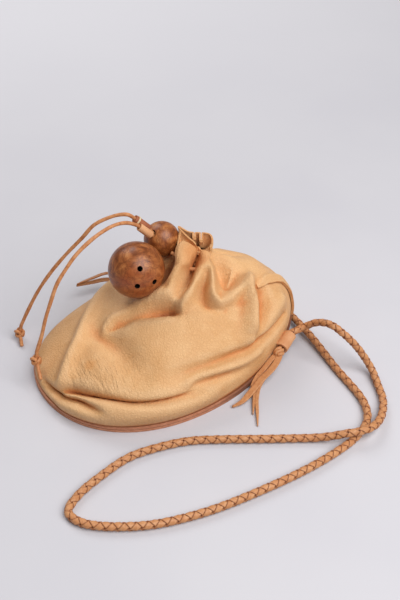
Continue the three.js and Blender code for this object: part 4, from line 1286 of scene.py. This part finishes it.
def skin_walls(t, v, lift):
    """Points of the skin's outer and inner side, and the normals of the outer one."""
    plain = skin_normal(t, v)
    neck_row = SKIN_UP - COLLAR_ROWS
    p = np.concatenate([
        folded(t[:, :neck_row], v[:, :neck_row]),
        collar(t[:, neck_row:], v[:, neck_row:]),
    ], axis=1)
    at_neck = np.exp(-((v - NECK_V) / NECK_SPAN) ** 2)
    p = p + (smeared(p, NECK_ROUNDS, ring=True) - p) * at_neck[..., None]
    off = np.abs(degrees_off(np.degrees(t), END_AT))
    at_end = (1 - ease((off - END_WIDE) / END_FADE)) * np.exp(-((v - NECK_V) / END_SPAN) ** 2)
    p = p + (smeared(p, END_ROUNDS, ring=True) - p) * at_end[..., None] + plain * lift[..., None]
    normal = grid_normals(p)
    share = ease((v - THIN_FROM) / THIN_SPAN)[..., None]
    inner = p - unit(plain * (1 - share) + normal * share) * (WALL + (COLLAR_WALL - WALL) * share)
    for q in (p, inner):
        floor = FOOT_Z + curl(q[..., 0]) + FOOT_SLOPE * v
        q[..., 2] = np.where(v > 0, np.maximum(q[..., 2], floor), floor)
    return p, inner, normal


def wall_faces(columns, rows):
    """Faces of the outer side, then those of the inner side and of the edges between the two."""
    o = np.arange(columns * rows).reshape(columns, rows)
    n = o + columns * rows
    corners = [
        (o[:-1, :-1], o[1:, :-1], o[1:, 1:], o[:-1, 1:]),
        (n[:-1, :-1], n[:-1, 1:], n[1:, 1:], n[1:, :-1]),
        (o[1:, 0], o[:-1, 0], n[:-1, 0], n[1:, 0]),
        (o[:-1, -1], o[1:, -1], n[1:, -1], n[:-1, -1]),
        (o[0, :-1], o[0, 1:], n[0, 1:], n[0, :-1]),
        (o[-1, 1:], o[-1, :-1], n[-1, :-1], n[-1, 1:]),
    ]
    return [np.stack([c.ravel() for c in four], axis=1) for four in corners]


def spot(name, t, v):
    """Soft spot of the skin, as high as its gain in the middle."""
    at, up, wide, high, gain = SPOTS[name]
    return gain * np.exp(-((np.degrees(t) % 360 - at) / wide) ** 2 - ((v - up) / high) ** 2)


def hollow_shade(t, v, p, normal):
    """Painted shade per point: deeper in hollows, less at the crest, more at the foot, the spots and the
    front below the mouth.
    """
    hollow = np.zeros(t.shape)
    for rounds, gain in HOLLOW_SIZES:
        hollow += gain * ((smeared(p, rounds) - p) * normal).sum(2)
    hollow *= 1 - CREST_SHADE_CUT * ease((v - CREST_SHADE_CUT_FROM) / CREST_SHADE_CUT_SPAN)
    hollow *= 1 + spot("crease", t, v)
    hollow[:, :len(FOOT_SHADES)] = FOOT_SHADES
    front = np.exp(-((np.degrees(t) % 360 - FRONT_AT) / FRONT_SHADE_WIDE) ** 2)
    hollow += FRONT_SHADE * front * ease((v - FRONT_SHADE_FROM) / FRONT_SHADE_SPAN)
    return hollow + spot("cleft", t, v) + spot("shadow_beside_ball", t, v)


def pouch():
    t, v, lift = skin_grid()
    p, inner, normal = skin_walls(t, v, lift)
    faces = wall_faces(*t.shape)
    finish = np.ones(sum(len(f) for f in faces), np.int32)
    finish[:len(faces[0])] = 0
    mesh = bpy.data.meshes.new("pouch")
    verts = np.vstack([p.reshape(-1, 3), inner.reshape(-1, 3)])
    mesh.from_pydata((verts * MM).tolist(), [], np.vstack(faces).tolist())
    mesh.update()
    mesh.shade_smooth()
    mesh.set_sharp_from_angle(angle=math.radians(60))
    mesh.materials.append(POUCH)
    mesh.materials.append(EDGE)
    mesh.polygons.foreach_set("material_index", finish)
    piece = placed("pouch", mesh)
    # painted shade for the leather: the outer side's from hollows and spots, the inner side's deeper inside
    # the neck
    inside = INSIDE_SHADE * ease((v - NECK_V) / INSIDE_SPAN)
    note_points(piece, "hollow", np.concatenate([hollow_shade(t, v, p, normal).ravel(), inside.ravel()]))
    note_points(piece, "crinkle", np.concatenate([spot("crinkle", t, v).ravel(), np.zeros(t.size)]))
    return settle(piece, "shell_leather", "shell")


# base

def base_layer(name, node, low, high, inner):
    """Layer of the base: a full plate, or a band as wide as inner."""
    t = np.arange(BASE_AROUND) * TURN / BASE_AROUND
    rows = []

    def row(inset, z, share=1):
        x, y = outline(t, inset)
        rows.append(stack(x * share, y * share, z + curl(x * share)))

    def level(z, way):
        for s in (BAND_STEPS if inner else PLATE_STEPS)[::way]:
            if inner:
                row(BASE_SOFT + (inner - BASE_SOFT) * s, z)
            else:
                row(BASE_SOFT, z, s)

    level(low, -1)
    for a in EDGE_TURNS:
        row(BASE_SOFT * (1 - math.sin(a)), low + BASE_SOFT * (1 - math.cos(a)))
    for a in EDGE_TURNS[::-1]:
        row(BASE_SOFT * (1 - math.sin(a)), high - BASE_SOFT * (1 - math.cos(a)))
    level(high, 1)
    piece = new_piece(name, *skinned_rings(np.array(rows), closed=bool(inner)), BASE, sharp=50)
    return settle(piece, "base_leather", node)


# wooden balls, slider, loops

def revolved(profile, at, axis, sides):
    """Rings of a solid of revolution about an axis, from a list of (distance along, radius)."""
    ring = circle(np.arange(sides) * TURN / sides, *across(axis))
    return np.array([np.asarray(at) + unit(axis) * d + r * ring for d, r in profile])


def carve(piece, cutter, operation="DIFFERENCE"):
    modifier = piece.modifiers.new("carve", "BOOLEAN")
    modifier.object = cutter
    modifier.operation = operation
    modifier.solver = "EXACT"
    modifier.material_mode = "INDEX"


def bit(name, profile, at, direction):
    """Cutter that leaves bore walls painted near black for shade behind."""
    rings = revolved(profile, at, direction, 32)
    return in_second_finish(new_piece(name, *skinned_rings(rings), WOOD, BORE_SHADE))


def drill_bit(name, centre, direction, ball_radius, hole, depth):
    """Cutter for a drilled hole with a softened mouth."""
    start = ball_radius - depth
    profile = [(start, TIP_R), (start, hole), (ball_radius - 0.9, hole), (ball_radius - 0.35, hole + 0.18),
               (ball_radius + 0.1, hole + 0.6), (ball_radius + 3, hole + 3.4), (ball_radius + 3, TIP_R)]
    return bit(name, profile, centre, direction)


def wooden_ball(name, node, centre, radius, bits):
    k = np.linspace(0, math.pi, 49)
    wobble = 1 + BALL_UNEVEN * np.sin(3 * k)
    profile = [(-radius * math.cos(a), max(radius * math.sin(a), 0.01) * w) for a, w in zip(k, wobble)]
    rings = revolved(profile, centre, GRAIN_AXIS, 96)
    ball = new_piece(name + "_blank", *skinned_rings(rings), WOOD, BORE_SHADE)
    for cutter in bits:
        carve(ball, cutter)
    mesh = shaped(ball, name)
    for cutter in bits:
        drop(cutter)
    piece = link_piece(name, mesh, WOOD, BORE_SHADE, sharp=35)
    return settle(piece, "bead_wood", node)


def tube_wall(at, axis, radius, bore, length):
    """Rings of a leather tube with rounded ends."""
    mid = (radius + bore) / 2
    lip = (radius - bore) / 2
    quarter = math.pi / 2
    profile = [(lip - lip * math.cos(a), mid + lip * math.sin(a)) for a in np.linspace(0, quarter, 5)]
    profile += [(length - p, r) for p, r in reversed(profile)]
    inside = [(length - lip + lip * math.cos(a), mid - lip * math.sin(a))
              for a in np.linspace(0.3, quarter, 4)]
    profile += inside + [(length - p, r) for p, r in reversed(inside)]
    return revolved(profile, at, axis, SLEEVE_SIDES)


def balls():
    tie = unit(SMALL_BEAD_AT - BIG_BEAD_AT)
    bits = [drill_bit("bit_%d" % i, BIG_BEAD_AT, d, BIG_BEAD_R, BIG_HOLE_R, BIG_HOLE_DEEP)
            for i, d in enumerate(BIG_HOLES)]
    bits.append(drill_bit("bit_tie", BIG_BEAD_AT, tie, BIG_BEAD_R, TIE_HOLE_R, BIG_TIE_DEEP))
    wooden_ball("large_ball", "big_bead", BIG_BEAD_AT, BIG_BEAD_R, bits)
    past = np.linalg.norm(BORE_OUT - BORE_IN) + BORE_PAST
    bore = [(-BORE_PAST, TIP_R), (-BORE_PAST, BORE_R), (past, BORE_R), (past, TIP_R)]
    bits = [bit("bit_bore", bore, BORE_IN, unit(BORE_OUT - BORE_IN)),
            drill_bit("bit_small", SMALL_BEAD_AT, -tie, SMALL_BEAD_R, TIE_HOLE_R, SMALL_TIE_DEEP)]
    wooden_ball("small_ball", "small_bead", SMALL_BEAD_AT, SMALL_BEAD_R, bits)
    start = BIG_BEAD_AT + tie * (BIG_BEAD_R - BIG_TIE_DEEP + TIE_SHORT)
    end = SMALL_BEAD_AT - tie * (SMALL_BEAD_R - SMALL_TIE_DEEP + TIE_SHORT)
    path = smooth_route([start + (end - start) * k for k in (0, 0.35, 0.7, 1)], 1)
    piece = new_piece("ball_tie", *round_tube(path, LACE_R, LACE_SIDES, blunt=0.2), LACE)
    settle(piece, "lace_leather", "bead_tie")


def slider():
    axis, side, front, rear = sleeve_ends()
    pieces = []
    for i, (at, length) in enumerate(((front, SLEEVE_LENGTH), (rear, REAR_SLEEVE_LENGTH))):
        rings = tube_wall(at, axis, SLEEVE_R, SLEEVE_BORE, length)
        # the rear sleeve takes the darker copy of the leather, as painted shade
        pieces.append(new_piece("sleeve_%d" % i, *skinned_rings(rings, closed=True), LOOP, SHADED_LOOP))
    carve(pieces[0], in_second_finish(pieces[1]), "UNION")
    mesh = shaped(pieces[0], "lace_slider")
    drop(pieces[1])
    piece = link_piece("lace_slider", mesh, LOOP, SHADED_LOOP, sharp=50)
    settle(piece, "slider_leather", "cord_slider")
    ring = circle(np.arange(60) * TURN / 60, side, np.cross(axis, side)) * (SLEEVE_R + THREAD_PROUD)
    wraps = [round_tube(rear + axis * (REAR_SLEEVE_LENGTH - d) + ring, THREAD_R, 8, closed=True)
             for d in THREAD_FROM_END]
    thread = new_piece("slider_thread", *joined(wraps), THREAD)
    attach(thread, "root")


def leather_loop(name, node, at, axis):
    """Strip of leather rolled round the strap, its end lapped over its start."""
    a = unit(axis)
    side, down = across(axis)
    turns = np.linspace(*LOOP_TURNS, 56) * TURN
    r = TAB_BORE + TAB_WALL * ease((turns - LOOP_LAP_FROM * TURN) / (LOOP_LAP_SPAN * TURN)) * LOOP_LAP
    turns = turns - LOOP_SEAM * TURN

    def arc(radius):
        return np.stack([radius * np.cos(turns), radius * np.sin(turns)], 1)

    ring = np.concatenate([arc(r + TAB_WALL), arc(r)[::-1]])
    middle = arc(r + TAB_WALL / 2)
    centre = np.concatenate([middle, middle[::-1]])
    rows = []
    half = TAB_LENGTH / 2
    for d, pull in ((-half, 0.18), (0.2 - half, 0.06), (0.7 - half, 0), (-4, 0.1), (0, 0), (4, 0.12),
                    (half - 0.7, 0), (half - 0.2, 0.06), (half, 0.18)):
        grown = ring * (1 + LOOP_UNEVEN * math.sin(d))
        grown = grown + (centre - grown) * pull
        rows.append(np.asarray(at) + a * d + grown[:, :1] * side - grown[:, 1:] * down)
    rings = np.array(rows)
    count, sides = rings.shape[:2]
    faces = ring_walls(count, sides)
    for i in (0, count - 1):
        for j in range(len(turns) - 1):
            faces.append(tuple(i * sides + q for q in (j, j + 1, sides - 2 - j, sides - 1 - j)))
    piece = new_piece(name, rings.reshape(-1, 3), faces, LOOP, sharp=50)
    return settle(piece, "slider_leather", node)


def drawcord():
    axis, side, front, rear = sleeve_ends()
    through = unit(BORE_OUT - BORE_IN)
    leg_side = unit(side - through * np.dot(side, through))
    legs = [[BORE_IN + (BORE_OUT - BORE_IN) * k + leg_side * s for k in (0, 0.35, 0.7, 1)]
            for s in (-LEG_PITCH, LEG_PITCH)]
    turns = np.radians(np.linspace(*RING_TURN, 12))
    ring = [(RING_AT[0] + RING_R * math.cos(a), RING_AT[1] + RING_R * math.sin(a), RING_Z) for a in turns]
    route = [front + axis * CORD_INSIDE, front + axis * CORD_ENTRY, *legs[0][::-1], *ring, *legs[1],
             rear + axis * CORD_ENTRY, rear + axis * CORD_INSIDE]
    paths = smooth_route(route, 1.5), smooth_route(DRAWCORD_FRONT, 1.2)
    tubes = [round_tube(path, LACE_R, LACE_SIDES, blunt=0.2) for path in paths]
    settle(new_piece("drawcord_ring", *joined(tubes), LACE), "lace_leather", "drawcord_loop")


# floor and light

def studio():
    h = FLOOR_HALF
    mesh = bpy.data.meshes.new("floor")
    mesh.from_pydata([(-h, -h, 0), (h, -h, 0), (h, h, 0), (-h, h, 0)], [], [(0, 1, 2, 3)])
    mesh.materials.append(floor_cloth())
    placed("floor", mesh)
    world = bpy.data.worlds.new("studio")
    world.use_nodes = True
    glow = next(n for n in world.node_tree.nodes if n.type == "BACKGROUND")
    glow.inputs["Color"].default_value = GLOW_COLOUR
    glow.inputs["Strength"].default_value = GLOW_STRENGTH
    bpy.context.scene.world = world
    for name, at, aim, size, power in LIGHTS:
        lamp = bpy.data.lights.new(name, "AREA")
        lamp.size = size
        lamp.energy = power
        thing = placed(name, lamp)
        thing.location = at
        x, y, z = np.asarray(at) - np.asarray(aim)
        thing.rotation_euler = (math.atan2(math.hypot(x, y), z), 0, math.atan2(x, -y))
    bpy.context.scene.view_settings.view_transform = "Standard"


set_camera()
make_cords()
pouch()
base_layer("base_lower_layer", "base_sole", 0, SOLE_THICK, None)
WELT_LOW = SOLE_THICK + LAYER_GAP
base_layer("base_upper_layer", "base_welt", WELT_LOW, WELT_LOW + WELT_THICK, WELT_WIDTH)
balls()
slider()
leather_loop("front_strap_loop", "strap_tab_right", TAB_RIGHT_AT, TAB_RIGHT_AXIS)
leather_loop("rear_strap_loop", "strap_tab_back", TAB_BACK_AT, TAB_BACK_AXIS)
drawcord()
studio()
